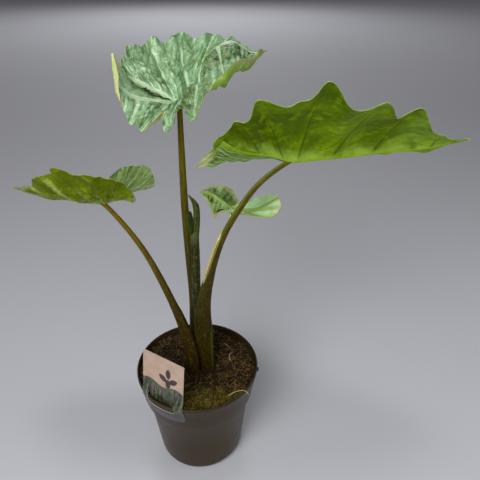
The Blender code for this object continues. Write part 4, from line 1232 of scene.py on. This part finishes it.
# %% [markdown]
# The pot is thin moulded plastic: a tapered body with a rounded foot, a step, and a wider collar
# with a rolled rim, which lets pots of this kind stack. A cylinder with loops could be scaled to
# it, but a round thing is defined by its outline. So that is drawn once in edit mode, point by
# point, outside and inside, and spun round the axis.

# %% Spin an outline
def spun(name, outline, steps):
    """Closed solid of revolution from (radius, height) points that start and end on the axis."""
    bpy.ops.object.select_all(action="DESELECT")
    radius, height = outline[0]
    bpy.ops.mesh.primitive_plane_add(size=MM, location=point(radius, 0, height))
    obj = bpy.context.object
    bpy.ops.object.transform_apply(location=True)
    edit(obj)
    # The plane becomes a single point, which is drawn out from place to place.
    bpy.ops.mesh.merge(type="CENTER")
    for (r0, z0), (r1, z1) in zip(outline, outline[1:]):
        way = point(r1 - r0, 0, z1 - z0)
        bpy.ops.mesh.extrude_region_move(TRANSFORM_OT_translate={"value": way})
    bpy.ops.mesh.select_all(action="SELECT")
    bpy.ops.mesh.spin(steps=steps, angle=2 * math.pi, center=(0, 0, 0), axis=(0, 0, 1))
    bpy.ops.mesh.select_all(action="SELECT")
    bpy.ops.mesh.remove_doubles(threshold=MERGE)
    bpy.ops.mesh.normals_make_consistent(inside=False)
    done()
    obj.name = name
    print(name, "has", len(obj.data.polygons), "faces")
    return obj


def arc(centre_r, centre_z, radius, start, end, steps):
    """Points of an arc in the outline, angles in degrees."""
    turn = [math.radians(start + (end - start) * i / steps) for i in range(steps + 1)]
    return [(centre_r + radius * math.cos(a), centre_z + radius * math.sin(a)) for a in turn]


print("a quarter of a rim in", len(arc(0, 0, 1, 0, 90, 4)), "points")

# %% [markdown]
# A nursery pot of this size is 190 mm across its rim. Its body tapers, so that pots slide into
# each other, and so does the collar. Both walls are written as a radius at a height, because the
# soil inside and the card on the rim have to follow them.

# %% The pot's sizes
RIM_RADIUS, POT_HEIGHT, WALL = 95.0, 175.0, 1.6
STEP_HEIGHT, COLLAR_FOOT, BODY_TOP, BASE_RADIUS = 127.0, 87.2, 81.8, 67.5
FOOT_ROUND = 14.0
SLOPE = math.degrees(math.atan2(BODY_TOP - BASE_RADIUS, STEP_HEIGHT))


def body_radius(z):
    """Outer radius of the body at height z."""
    return BASE_RADIUS + (BODY_TOP - BASE_RADIUS) * z / STEP_HEIGHT


def collar_radius(z):
    """Outer radius of the collar at height z."""
    return COLLAR_FOOT + (RIM_RADIUS - COLLAR_FOOT) * (z - STEP_HEIGHT) / (POT_HEIGHT - STEP_HEIGHT)


def foot_edge(radius, lift, steps):
    """Arc from the flat foot to the slope of the body, or inside it by lift."""
    z = lift + radius
    r = body_radius(z) - (radius + lift) / math.cos(math.radians(SLOPE))
    return arc(r, z, radius, -90, -SLOPE, steps)


print("the body leans out by", round(SLOPE, 2), "degrees")

# %% The pot's outline
# Outside: the foot with its drain groove, the body, the step, the collar and the rim.
outline = [(0, 0), (30, 0), (31, 0.6), (32, 3), (43, 3), (44, 0.6), (45, 0)]
outline += foot_edge(FOOT_ROUND, 0, 12)
outline += [(body_radius(60), 60), (body_radius(125.8), 125.8)]
outline += [(BODY_TOP + 0.3, 126.7), (BODY_TOP + 1.2, 127)]
outline += arc(COLLAR_FOOT - 1.2, STEP_HEIGHT + 1.2, 1.2, -90, 0, 4)
outline += [(collar_radius(150), 150), (collar_radius(168.6), 168.6)]
outline += arc(RIM_RADIUS - 1.0, POT_HEIGHT - 4.2, 1.0, -60, 0, 3)
outline += arc(RIM_RADIUS - 1.3, POT_HEIGHT - 1.3, 1.3, 0, 180, 8)
# Inside, back down to the axis.
outline += [(RIM_RADIUS - 2.7, 172.5), (collar_radius(169.5) - WALL, 169.5)]
outline += [(COLLAR_FOOT - WALL, 129), (BODY_TOP - WALL, 128.6)]
outline += list(reversed(foot_edge(FOOT_ROUND - WALL, WALL, 8)))
outline += [(46, WALL), (44, 4.6), (31, 4.6), (29, WALL), (0, WALL)]
pot = spun("pot_shell", outline, 144)

# %% [markdown]
# Water leaves the pot by holes in the groove of its foot. A cylinder set down at each place cuts
# them out, as a drill would. Under the rim sits a small lug, which is a block with bevelled edges,
# joined to the pot.

# %% Drain holes and the small lug under the rim
HOLES, HOLE_RING, HOLE_RADIUS = 8, 37.5, 5
LUG_ANGLE, LUG_HEIGHT = math.radians(-3), 166

for k in range(HOLES):
    a = 2 * math.pi * (k + 0.5) / HOLES
    place = point(HOLE_RING * math.cos(a), HOLE_RING * math.sin(a), 0)
    bpy.ops.object.select_all(action="DESELECT")
    bpy.ops.mesh.primitive_cylinder_add(vertices=24, radius=HOLE_RADIUS * MM, depth=20 * MM,
                                        location=place)
    drill = bpy.context.object
    apply_modifier(pot, "BOOLEAN", operation="DIFFERENCE", object=drill)
    bpy.data.objects.remove(drill)
lug_radius = collar_radius(LUG_HEIGHT) + 1.6
place = point(lug_radius * math.cos(LUG_ANGLE), lug_radius * math.sin(LUG_ANGLE), LUG_HEIGHT)
bpy.ops.object.select_all(action="DESELECT")
bpy.ops.mesh.primitive_cube_add(size=1, rotation=(0, 0, LUG_ANGLE), location=place,
                                scale=(4 * MM, 5 * MM, 6 * MM))
lug = bpy.context.object
bpy.ops.object.transform_apply(location=True, rotation=True, scale=True)
apply_modifier(lug, "BEVEL", width=1.2 * MM, segments=3)
pot = join(pot, lug)
print("pot:", len(pot.data.polygons), "faces")

# %% [markdown]
# The plastic is recycled, so its grey brown is a little cloudy, with a fine dark grain and faint
# lighter scuffs, which run round the pot because pots rub as they are turned. It is half matt.
# The scuffs are a noise squeezed in height, so no picture has to be wrapped round the pot.

# %% Pot plastic
def pot_plastic():
    """Grey brown recycled plastic."""
    paint = Paint("grey_brown_plastic")
    place = paint.place()
    cloud = paint.noise(place, 9, 4)
    grain = paint.noise(place, 700, 2)
    scuff = paint.noise(paint.place((1, 1, 9)), 60, 5, 0.7)
    clouds = paint.fade(cloud, 0.35, 0.65)
    colour = paint.mix(clouds, (0.035, 0.0215, 0.0065), (0.046, 0.0285, 0.009))
    colour = paint.mix(paint.fade(scuff, 0.58, 0.72, 0, 0.5), colour, (0.085, 0.075, 0.058))
    colour = paint.mix(paint.fade(grain, 0.4, 0.6, 0, 0.2), colour, (0.02, 0.017, 0.013))
    rough = paint.maths("ADD", paint.fade(cloud, 0.3, 0.7, 0.3, 0.38),
                        paint.fade(scuff, 0.5, 0.7, 0, 0.15))
    normal = paint.bump(grain, 0.12, 0.0002)
    return paint.finish(colour, rough, normal, Specular_IOR_Level=0.2)


pot.data.materials.clear()
pot.data.materials.append(pot_plastic())
select_only(pot)
bpy.ops.object.shade_smooth_by_angle(angle=math.radians(40))
settle(pot, "nursery_pot", "pot_plastic", "pot")

# %% [markdown]
# Potting soil is a coarse mix of dark peat, brown fibres and bits of bark. A flat disc would do
# from afar, but its edge by the wall and its shadows would give it away. So its body is spun like
# the pot, just clear of its walls, and its top is worked: it rises a little towards the stems
# and is broken up into lumps by noise at several sizes.

# %% Soil body
SOIL_TOP, SOIL_GAP, RINGS = 165.5, 0.3, 66
LUMPS = ((30, 1.6), (12, 1.7), (5.5, 1.2), (2.6, 0.7))     # how wide and how high they are


def lumps(x, y):
    """Height of the soil's surface in millimetres."""
    r = math.hypot(x, y)
    mound = 4.0 * math.exp(-(r / 42.0) ** 2)
    rough = 0.0
    for size, height in LUMPS:
        rough += height * noise.noise(Vector((x / size, y / size, size)))
    # By the wall the soil was pressed down, which makes it smoother.
    settled = 1 - 0.5 * step_between(80, 90, r)
    return SOIL_TOP + mound + rough * settled


soil_foot = WALL + SOIL_GAP
soil_edge = collar_radius(SOIL_TOP) - WALL - 0.6
soil_outline = [(0, soil_foot), (29, soil_foot), (31, 4.9), (44, 4.9), (46, soil_foot)]
soil_outline += foot_edge(FOOT_ROUND - WALL - SOIL_GAP, soil_foot, 6)
soil_outline += [(BODY_TOP - WALL - 0.4, 128.2), (COLLAR_FOOT - WALL - 0.5, 129.4)]
soil_outline += [(soil_edge * (RINGS - i) / RINGS, SOIL_TOP) for i in range(RINGS + 1)]
soil = spun("soil_body", soil_outline, 180)
for vertex in soil.data.vertices:
    if vertex.co.z > (SOIL_TOP - 0.01) * MM:
        vertex.co.z = lumps(vertex.co.x / MM, vertex.co.y / MM) * MM
soil.data.update()
print("the soil's top has", len(LUMPS), "sizes of lumps")

# %% [markdown]
# Damp peat is nearly black, drier crumbs are brown and light, and in front, where the light
# falls, a thin film of moss has a green tint. The same paint, with other colours and finer
# patches, serves the fibres and the mossy bits that lie on it.

# %% Soil paint
def peat_paint(name, dark, brown, light, moss, patch=55):
    """Moss is the colour of the film in front, or None; patch is how fine the patches are."""
    paint = Paint(name)
    place = paint.place()
    broad = paint.noise(place, patch, 4, 0.6)
    small = paint.noise(place, 260, 5, 0.7, 0.5)
    fleck = paint.noise(place, 520, 3, 0.6)
    colour = paint.mix(paint.fade(broad, 0.35, 0.65), dark, brown)
    colour = paint.mix(paint.fade(small, 0.56, 0.7, 0, 0.8), colour, light)
    colour = paint.mix(paint.fade(fleck, 0.5, 0.68, 0, 0.6), colour, dark)
    if moss:
        parts = paint.add("ShaderNodeSeparateXYZ", {0: paint.place()}).outputs
        front = paint.fade(parts[1], -0.03, -0.065)
        right = paint.fade(parts[0], -0.05, 0.0)
        green = paint.maths("MULTIPLY", front, right)
        green = paint.maths("MULTIPLY", green, paint.fade(small, 0.42, 0.58, 0, 0.75))
        colour = paint.mix(green, colour, moss)
    height = paint.maths("ADD", small, paint.maths("MULTIPLY", fleck, 0.5))
    normal = paint.bump(height, 0.9, 0.0015)
    return paint.finish(colour, paint.fade(small, 0.3, 0.7, 0.75, 0.98), normal,
                        Specular_IOR_Level=0.15)


peat = peat_paint("peat_mix", (0.012, 0.007, 0.002), (0.036, 0.022, 0.007), (0.1, 0.06, 0.02),
                  (0.09, 0.07, 0.006))
fibre_paint = peat_paint("brown_fibre", (0.04, 0.02, 0.006), (0.22, 0.13, 0.045),
                         (0.62, 0.42, 0.2), None, 170)
moss_paint = peat_paint("moss_bits", (0.05, 0.036, 0.003), (0.25, 0.2, 0.025),
                        (0.68, 0.54, 0.15), None, 170)
soil.data.materials.append(peat)
select_only(soil)
bpy.ops.object.shade_smooth_by_angle(angle=math.radians(60))
settle(soil, "potting_soil", "peat", "soil")

# %% [markdown]
# Loose bits lie on the soil: crumbs of peat, curled brown fibres, and mossy bits in front. One
# crumb and three fibres are modelled, with few faces, and then copied many times with another
# turn, size and place. Hair particles could do that too, but copies in one mesh are a piece like
# any other. The draw of places starts from a fixed seed, so it is the same each time.

# %% One crumb and one fibre
def one_crumb():
    """A lump about 1 in radius, dented by noise."""
    bpy.ops.object.select_all(action="DESELECT")
    bpy.ops.mesh.primitive_ico_sphere_add(subdivisions=2, radius=1)
    obj = bpy.context.object
    for vertex in obj.data.vertices:
        vertex.co *= 0.75 + 0.7 * noise.noise(vertex.co * 1.3 + Vector((4, 1, 7)))
    return obj


def one_fibre(bend):
    """A thin thread along X, 1 long, curled by bend."""
    bpy.ops.object.select_all(action="DESELECT")
    bpy.ops.mesh.primitive_cylinder_add(vertices=4, radius=1, depth=1, rotation=(0, math.pi / 2, 0))
    obj = bpy.context.object
    bpy.ops.object.transform_apply(rotation=True)
    edit(obj)
    # Seven cuts make eight lengths, which can bend against each other.
    for cut in range(-3, 4):
        bpy.ops.mesh.select_all(action="SELECT")
        bpy.ops.mesh.bisect(plane_co=(cut / 8, 0, 0), plane_no=(1, 0, 0))
    done()
    for vertex in obj.data.vertices:
        x = vertex.co.x
        thin = 1 - 0.6 * abs(2 * x) ** 3
        vertex.co.y = vertex.co.y * thin * 0.045 + bend * (0.25 - x * x) + 0.03 * math.sin(9 * x)
        vertex.co.z = vertex.co.z * thin * 0.045 + 0.25 * bend * abs(x) ** 1.5
    return obj


crumb = one_crumb()
fibres = [one_fibre(bend) for bend in (0.05, 0.25, 0.7)]
print("a crumb has", len(crumb.data.polygons), "faces, a fibre", len(fibres[0].data.polygons))

# %% Copies over the soil
SPREAD, WALL_INSIDE = 89, 90.5            # how far out bits lie, and where none may reach


def scatter(name, seeds, count, seed, size, flat, accept, finish, high):
    """As many copies of the seeds as count says, in one mesh. Accept takes or refuses a place.
    Size is between which lengths each is drawn, flat makes it lower, and high lifts it."""
    draw = random.Random(seed)
    bm = bmesh.new()
    placed = 0
    while placed < count:
        r = SPREAD * math.sqrt(draw.random())
        a = draw.uniform(-math.pi, math.pi)
        x, y = r * math.cos(a), r * math.sin(a)
        turn = draw.uniform(0, 2 * math.pi)
        tilt, roll = draw.uniform(-0.35, 0.35), draw.uniform(-0.5, 0.5)
        scale = draw.uniform(*size)
        which = draw.randrange(len(seeds))
        if not accept(x, y, draw.random()):
            continue
        place = Matrix.Translation(point(x, y, lumps(x, y) + high))
        turned = Matrix.Rotation(turn, 4, "Z") @ Matrix.Rotation(tilt, 4, "Y")
        turned = turned @ Matrix.Rotation(roll, 4, "X")
        sized = Matrix.Diagonal((scale * MM, scale * MM, scale * flat * MM, 1))
        first = len(bm.verts)
        bm.from_mesh(seeds[which].data)
        bm.verts.ensure_lookup_table()
        for vertex in bm.verts[first:]:
            vertex.co = place @ turned @ sized @ vertex.co
            reach = math.hypot(vertex.co.x, vertex.co.y)
            if reach > WALL_INSIDE * MM:
                vertex.co.x *= WALL_INSIDE * MM / reach
                vertex.co.y *= WALL_INSIDE * MM / reach
        placed += 1
    mesh = bpy.data.meshes.new(name)
    bm.to_mesh(mesh)
    bm.free()
    obj = bpy.data.objects.new(name, mesh)
    bpy.context.scene.collection.objects.link(obj)
    mesh.materials.append(finish)
    mesh.shade_smooth()
    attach(obj, "root")
    print(name, placed, "bits,", len(mesh.polygons), "faces")


def clear_of_stems(x, y):
    """The stems stand in an oval, and nothing lies there."""
    return math.hypot((x - 5) / 27, (y - 1) / 24) > 1


def anywhere(x, y, chance):
    """Takes every place but the stems', whatever the chance."""
    return clear_of_stems(x, y)


def in_front(x, y, chance):
    """Takes more and more places towards the front and the right."""
    near = step_between(-25, -70, y) * step_between(-60, -5, x)
    return clear_of_stems(x, y) and chance < near


# %% Scatter them
scatter("peat_crumbs", [crumb], 900, 11, (0.8, 2.8), 0.8, anywhere, peat, 0.6)
scatter("brown_fibres", fibres, 1000, 23, (6, 15), 0.9, anywhere, fibre_paint, 1.4)
scatter("moss_bits", [crumb], 200, 37, (0.6, 1.5), 0.9, in_front, moss_paint, 1.2)
scatter("moss_threads", fibres, 380, 41, (4, 10), 0.9, in_front, moss_paint, 1.8)
for seed_piece in [crumb, *fibres]:
    bpy.data.objects.remove(seed_piece)

# %% [markdown]
# The care label is a stiff, varnished card. A U shaped cut leaves a tongue that goes inside the
# rim, while the strap below the cut goes outside the collar, so the card clips on and leans in
# over the peat. It could be a thin box with the cut taken out, but then it wouldn't bend round
# the collar. So it is a grid again: its cells in the cut are left out, its flat part follows the
# lean, and the strap follows the collar.

# %% Label sizes
# Above and below are counted from the rim, where seat is the card's distance from the pot's axis.
# The slit ends LABEL_CUT above it, the tongue TONGUE_END and the cut STRAP_TOP below it.
LABEL_WIDTH, LABEL_ABOVE, LABEL_BELOW, LABEL_THICK = 73.0, 74.0, 30.0, 0.8
LABEL_AZIMUTH, LABEL_LEAN, LABEL_SEAT, LABEL_CUT = -121.5, 8.5, 87.4, 11.0
TONGUE_WIDTH, TONGUE_END, STRAP_TOP, SLIT, GAP = 46.0, 8.0, 11.5, 0.8, 0.3
CORNER, CARD_STEP = 4.0, 2.2
half_card, half_tongue = LABEL_WIDTH / 2, TONGUE_WIDTH / 2
slit_edge = half_tongue + SLIT
azimuth = math.radians(LABEL_AZIMUTH)
outwards = Vector((math.cos(azimuth), math.sin(azimuth), 0))
across = Vector((-math.sin(azimuth), math.cos(azimuth), 0))
print("card:", LABEL_WIDTH, "x", LABEL_ABOVE + LABEL_BELOW, "mm")

# %% Where the card runs
def label_distance(x, h, strap):
    """Distance of the card from the pot's axis, x across it and h above the rim."""
    clear = LABEL_THICK / 2 + GAP
    flat = LABEL_SEAT - h * math.tan(math.radians(LABEL_LEAN))
    if not strap:
        wall = collar_radius(min(POT_HEIGHT + h, POT_HEIGHT - 4)) - WALL - 1.7
        return min(flat, math.sqrt(wall ** 2 - x ** 2) - clear) if h < 1 else flat
    outer = RIM_RADIUS if h > -7 else collar_radius(POT_HEIGHT + h) + 0.2
    outside = math.sqrt(outer ** 2 - x ** 2) + clear
    if h <= 1.5:
        return outside
    return outside + (flat - outside) * step_between(1.5, LABEL_CUT + 3, h)


def spread_marks(marks, step):
    """The marks with even steps between them, none longer than step."""
    out = []
    for a, b in zip(marks, marks[1:]):
        count = max(1, math.ceil((b - a) / step))
        out += [a + (b - a) * i / count for i in range(count)]
    return out + [marks[-1]]


def with_corners(x, h):
    """The same place, but drawn in to a quarter circle at the two lower corners."""
    over = Vector((max(0, abs(x) - (half_card - CORNER)), max(0, -h - (LABEL_BELOW - CORNER))))
    if over.x and over.y and over.length > CORNER:
        over *= 1 - CORNER / over.length
        return x - math.copysign(over.x, x), h + over.y
    return x, h


print("the card's top stands", round(label_distance(0, LABEL_ABOVE, False), 1), "mm off the axis")

# %% Label card
column_marks = (-half_card, -slit_edge, -half_tongue, half_tongue, slit_edge, half_card)
row_marks = (-LABEL_BELOW, -STRAP_TOP, -TONGUE_END, 0, LABEL_CUT, LABEL_ABOVE)
card_columns = spread_marks(column_marks, CARD_STEP)
card_rows = spread_marks(row_marks, CARD_STEP)
places, notes = [], []
for h in card_rows:
    for x in card_columns:
        x_in, h_in = with_corners(x, h)
        strap = abs(x) > half_tongue + SLIT / 2 or h <= -STRAP_TOP
        places.append((outwards * label_distance(x_in, h_in, strap) + across * x_in) * MM
                      + point(0, 0, POT_HEIGHT + h_in))
        notes.append((x / LABEL_WIDTH + 0.5, (h + LABEL_BELOW) / (LABEL_ABOVE + LABEL_BELOW)))
card = shaped_grid("card", len(card_rows), len(card_columns), places, notes,
                   ("card_x", "card_y"))
print("card:", len(card.data.polygons), "cells")

# %% The cut round the tongue
edit(card)
bpy.ops.mesh.select_all(action="DESELECT")
mesh = bmesh.from_edit_mesh(card.data)
card_x = mesh.verts.layers.float["card_x"]
card_y = mesh.verts.layers.float["card_y"]
for face in mesh.faces:
    x = abs(sum(v[card_x] for v in face.verts) / 4 - 0.5) * LABEL_WIDTH
    h = sum(v[card_y] for v in face.verts) / 4 * (LABEL_ABOVE + LABEL_BELOW) - LABEL_BELOW
    in_cut = -STRAP_TOP < h < LABEL_CUT and half_tongue < x < slit_edge
    under_tongue = -STRAP_TOP < h < -TONGUE_END and x < slit_edge
    if in_cut or under_tongue:
        face.select = True
bmesh.update_edit_mesh(card.data)
bpy.ops.mesh.delete(type="FACE")
done()
face_towards(card, outwards)
print("card without the cut:", len(card.data.polygons), "cells")

# %% [markdown]
# The print on the card is a plain made up design: a peach ground with a plum sprig of four
# leaflets, and below a wavy line a bed of grassy blades in greens and mauve. It is drawn by nodes
# that know each point's place on the card in millimetres. The front, the back and the cut edge
# have a material each.

# %% Label print
LEAFLETS = ((46, 80, 90), (37, 70, 150), (55, 70, 30), (46, 63, 270))     # x, y and turn of each
LEAFLET_LONG, LEAFLET_WIDE = 17.0, 9.0
WAVE_LINE, STRAP_LINE, STRIPE_LINE = 57.0, 25.0, 9.0       # heights above the card's lower edge


def leaflet(paint, spot, x, y, turn):
    """1 inside a pointed leaflet, which is what two circles share."""
    radius = (LEAFLET_LONG ** 2 + LEAFLET_WIDE ** 2) / (4 * LEAFLET_WIDE)
    off = radius - LEAFLET_WIDE / 2
    ends = []
    for side in (-1, 1):
        a = math.radians(turn + 90 * side)
        centre = (x + off * math.cos(a), y + off * math.sin(a), 0)
        ends.append(paint.add("ShaderNodeVectorMath", {0: spot, 1: centre},
                              operation="DISTANCE").outputs["Value"])
    return paint.maths("LESS_THAN", paint.maths("MAXIMUM", *ends), radius)


def label_paint(name, front):
    """Varnished card, with the design on its front."""
    paint = Paint(name)
    x = paint.maths("MULTIPLY", paint.value("card_x"), LABEL_WIDTH)
    y = paint.maths("MULTIPLY", paint.value("card_y"), LABEL_ABOVE + LABEL_BELOW)
    spot = paint.add("ShaderNodeCombineXYZ", {"X": x, "Y": y}).outputs[0]
    soft = paint.noise(spot, 0.06, 2)
    colour = paint.mix(paint.fade(soft, 0.35, 0.65), (0.47, 0.33, 0.24), (0.53, 0.385, 0.285))
    if front:
        for where in LEAFLETS:
            colour = paint.mix(leaflet(paint, spot, *where), colour, (0.05, 0.024, 0.034))
        grass = paint.add("ShaderNodeMapping", {"Vector": spot, "Rotation": (0, 0, 0.5),
                                                "Scale": (0.3, 0.055, 1)}).outputs[0]
        blade = paint.noise(grass, 1.0, 3, 0.6, 1.2)
        cloud = paint.noise(spot, 0.09, 2)
        tufts = paint.fade(blade, 0.42, 0.52)
        picture = paint.mix(tufts, (0.016, 0.021, 0.009), (0.055, 0.08, 0.032))
        picture = paint.mix(paint.fade(blade, 0.56, 0.62), picture, (0.16, 0.2, 0.11))
        picture = paint.mix(paint.fade(cloud, 0.5, 0.6, 0, 0.75), picture, (0.11, 0.07, 0.082))
        wave = paint.maths("MULTIPLY", paint.maths("SINE", paint.maths("MULTIPLY", x, 0.13)), 3.0)
        top = paint.maths("ADD", wave, WAVE_LINE)
        colour = paint.mix(paint.maths("LESS_THAN", y, top), colour, picture)
        tufts = paint.fade(blade, 0.45, 0.55)
        strap = paint.mix(tufts, (0.022, 0.03, 0.014), (0.065, 0.073, 0.036))
        colour = paint.mix(paint.maths("LESS_THAN", y, STRAP_LINE), colour, strap)
        stripe = paint.maths("LESS_THAN", y, STRIPE_LINE)
        colour = paint.mix(stripe, colour, (0.065, 0.047, 0.074))
    normal = paint.bump(paint.noise(spot, 1.4, 2), 0.05, 0.0002)
    return paint.finish(colour, paint.fade(soft, 0.3, 0.7, 0.28, 0.36), normal)


for finish in (label_paint("card_front", True), label_paint("card_back", False),
               edge_paint("card_edge", (0.6, 0.55, 0.5), (0.5, 0.44, 0.38))):
    card.data.materials.append(finish)
apply_modifier(card, "SOLIDIFY", thickness=LABEL_THICK * MM, offset=0, material_offset=1,
               material_offset_rim=2)
select_only(card)
bpy.ops.object.shade_smooth_by_angle(angle=math.radians(30))
settle(card, "care_label", "label_card", "plant_label")

# %% [markdown]
# A few dry straws lie across the soil, and one reaches out over the rim. Each is a thin stem along
# its own path, so the maker of the leaf stems serves for them too.

# %% Straws
STRAWS = (
    ((50, -60, 167.5), (57.5, -57, 170.5), (64.5, -57, 174.2), (72, -58, 176.3), (77, -60, 175.6),
     (80, -62.5, 172)),
    ((52, 10, 169.0), (50, 16, 171.2), (51, 24, 171.0), (56, 31, 168.5)),
    ((40, 52, 167.6), (46, 46, 168.8), (52, 40, 167.4)),
)
straw_paint = stem_paint("dry_straw", (0.6, 0.5, 0.25), (0.5, 0.38, 0.16), (0.3, 0.22, 0.1))
straws = []
for path in STRAWS:
    spec = {"path": path, "across": ((0, 0.6), (len(path) - 1, 0.4)), "deep": ((0, 0.3),)}
    straws.append(make_stem("straw", spec, 30, 6, straw_paint))
straw = join(*straws)
straw.name = "dry_straws"
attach(straw, "root")
print("straws:", len(STRAWS))

# %% [markdown]
# The rootstock is out of sight in the soil, so a finer piece would be wasted. Its solid stays,
# with the ringed, scarred bark of such a rootstock.

# %% Rootstock
def bark_paint():
    """Brown bark with rings across it."""
    paint = Paint("rootstock_bark")
    place = paint.place((1, 1, 3))
    ring = paint.noise(place, 70, 5, 0.65)
    fine = paint.noise(paint.place(), 400, 3)
    colour = paint.mix(paint.fade(ring, 0.4, 0.62), (0.07, 0.04, 0.02), (0.2, 0.13, 0.07))
    colour = paint.mix(paint.fade(fine, 0.55, 0.7, 0, 0.5), colour, (0.3, 0.22, 0.14))
    return paint.finish(colour, paint.fade(ring, 0.3, 0.7, 0.7, 0.9), paint.bump(ring, 0.6, 0.002))


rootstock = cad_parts["rootstock"]
rootstock.data.materials.clear()
rootstock.data.materials.append(bark_paint())
print("rootstock keeps its solid,", len(rootstock.data.polygons), "faces")

# %% [markdown]
# The plant stands on a plain, pale studio floor. It is only a stage, so it isn't part of the
# object. It is so large that its edge never shows, and slightly cloudy, as a painted floor is.

# %% Floor
bpy.ops.object.select_all(action="DESELECT")
bpy.ops.mesh.primitive_plane_add(size=60)
floor = bpy.context.object
floor.name = "floor"
floor_paint = Paint("pale_floor")
cloudy = floor_paint.noise(floor_paint.place(), 0.8, 2)
tint = floor_paint.mix(cloudy, (0.6, 0.605, 0.65), (0.63, 0.635, 0.68))
floor.data.materials.append(floor_paint.finish(tint, floor_paint.fade(cloudy, 0.3, 0.7, 0.7, 0.8)))
print("floor:", tuple(round(side, 1) for side in floor.dimensions), "metres")

# %% [markdown]
# Studio light is soft because it comes from broad discs. The main one stands in front, high up on
# the left, and a small one overhead makes the shadows firmer. A weak one on the right and a low
# one in front reach the undersides of the leaves, and a near one the pot. Far behind, the largest
# evens out the floor. The surroundings add a little grey from all sides.

# %% Light
# For each lamp: its place, what it points at, its width, all in metres, and its watts.
LAMPS = {
    "key": ((-0.8, -1.5, 1.8), (0, -0.1, 0.3), 1.3, 18),
    "overhead": ((0.05, 0, 2.2), (0.05, -0.05, 0), 0.35, 5),
    "back": ((-0.6, 6.5, 3.0), (-0.4, 4.0, 0), 4.0, 84),
    "side": ((1.3, -0.2, 0.7), (0, 0, 0.2), 0.8, 2.8),
    "low_fill": ((0.5, -1.7, 0.55), (0.1, 0, 0.45), 0.8, 3),
    "near": ((-0.3, -1.0, 1.1), (0, -0.15, 0), 0.8, 7),
}
for name, (place, towards, size, power) in LAMPS.items():
    light = bpy.data.lights.new(name, "AREA")
    light.shape = "DISK"
    light.size, light.energy = size, power
    lamp = bpy.data.objects.new(name, light)
    bpy.context.scene.collection.objects.link(lamp)
    lamp.location = place
    lamp.rotation_euler = (Vector(towards) - Vector(place)).to_track_quat("-Z", "Y").to_euler()
world = bpy.data.worlds.new("studio")
bpy.context.scene.world = world
world.use_nodes = True
backdrop = world.node_tree.nodes["Background"]
backdrop.inputs["Color"].default_value = (0.78, 0.78, 0.82, 1)
backdrop.inputs["Strength"].default_value = 0.15
bpy.context.scene.view_settings.view_transform = "Standard"
print("lamps:", len(bpy.data.lights))
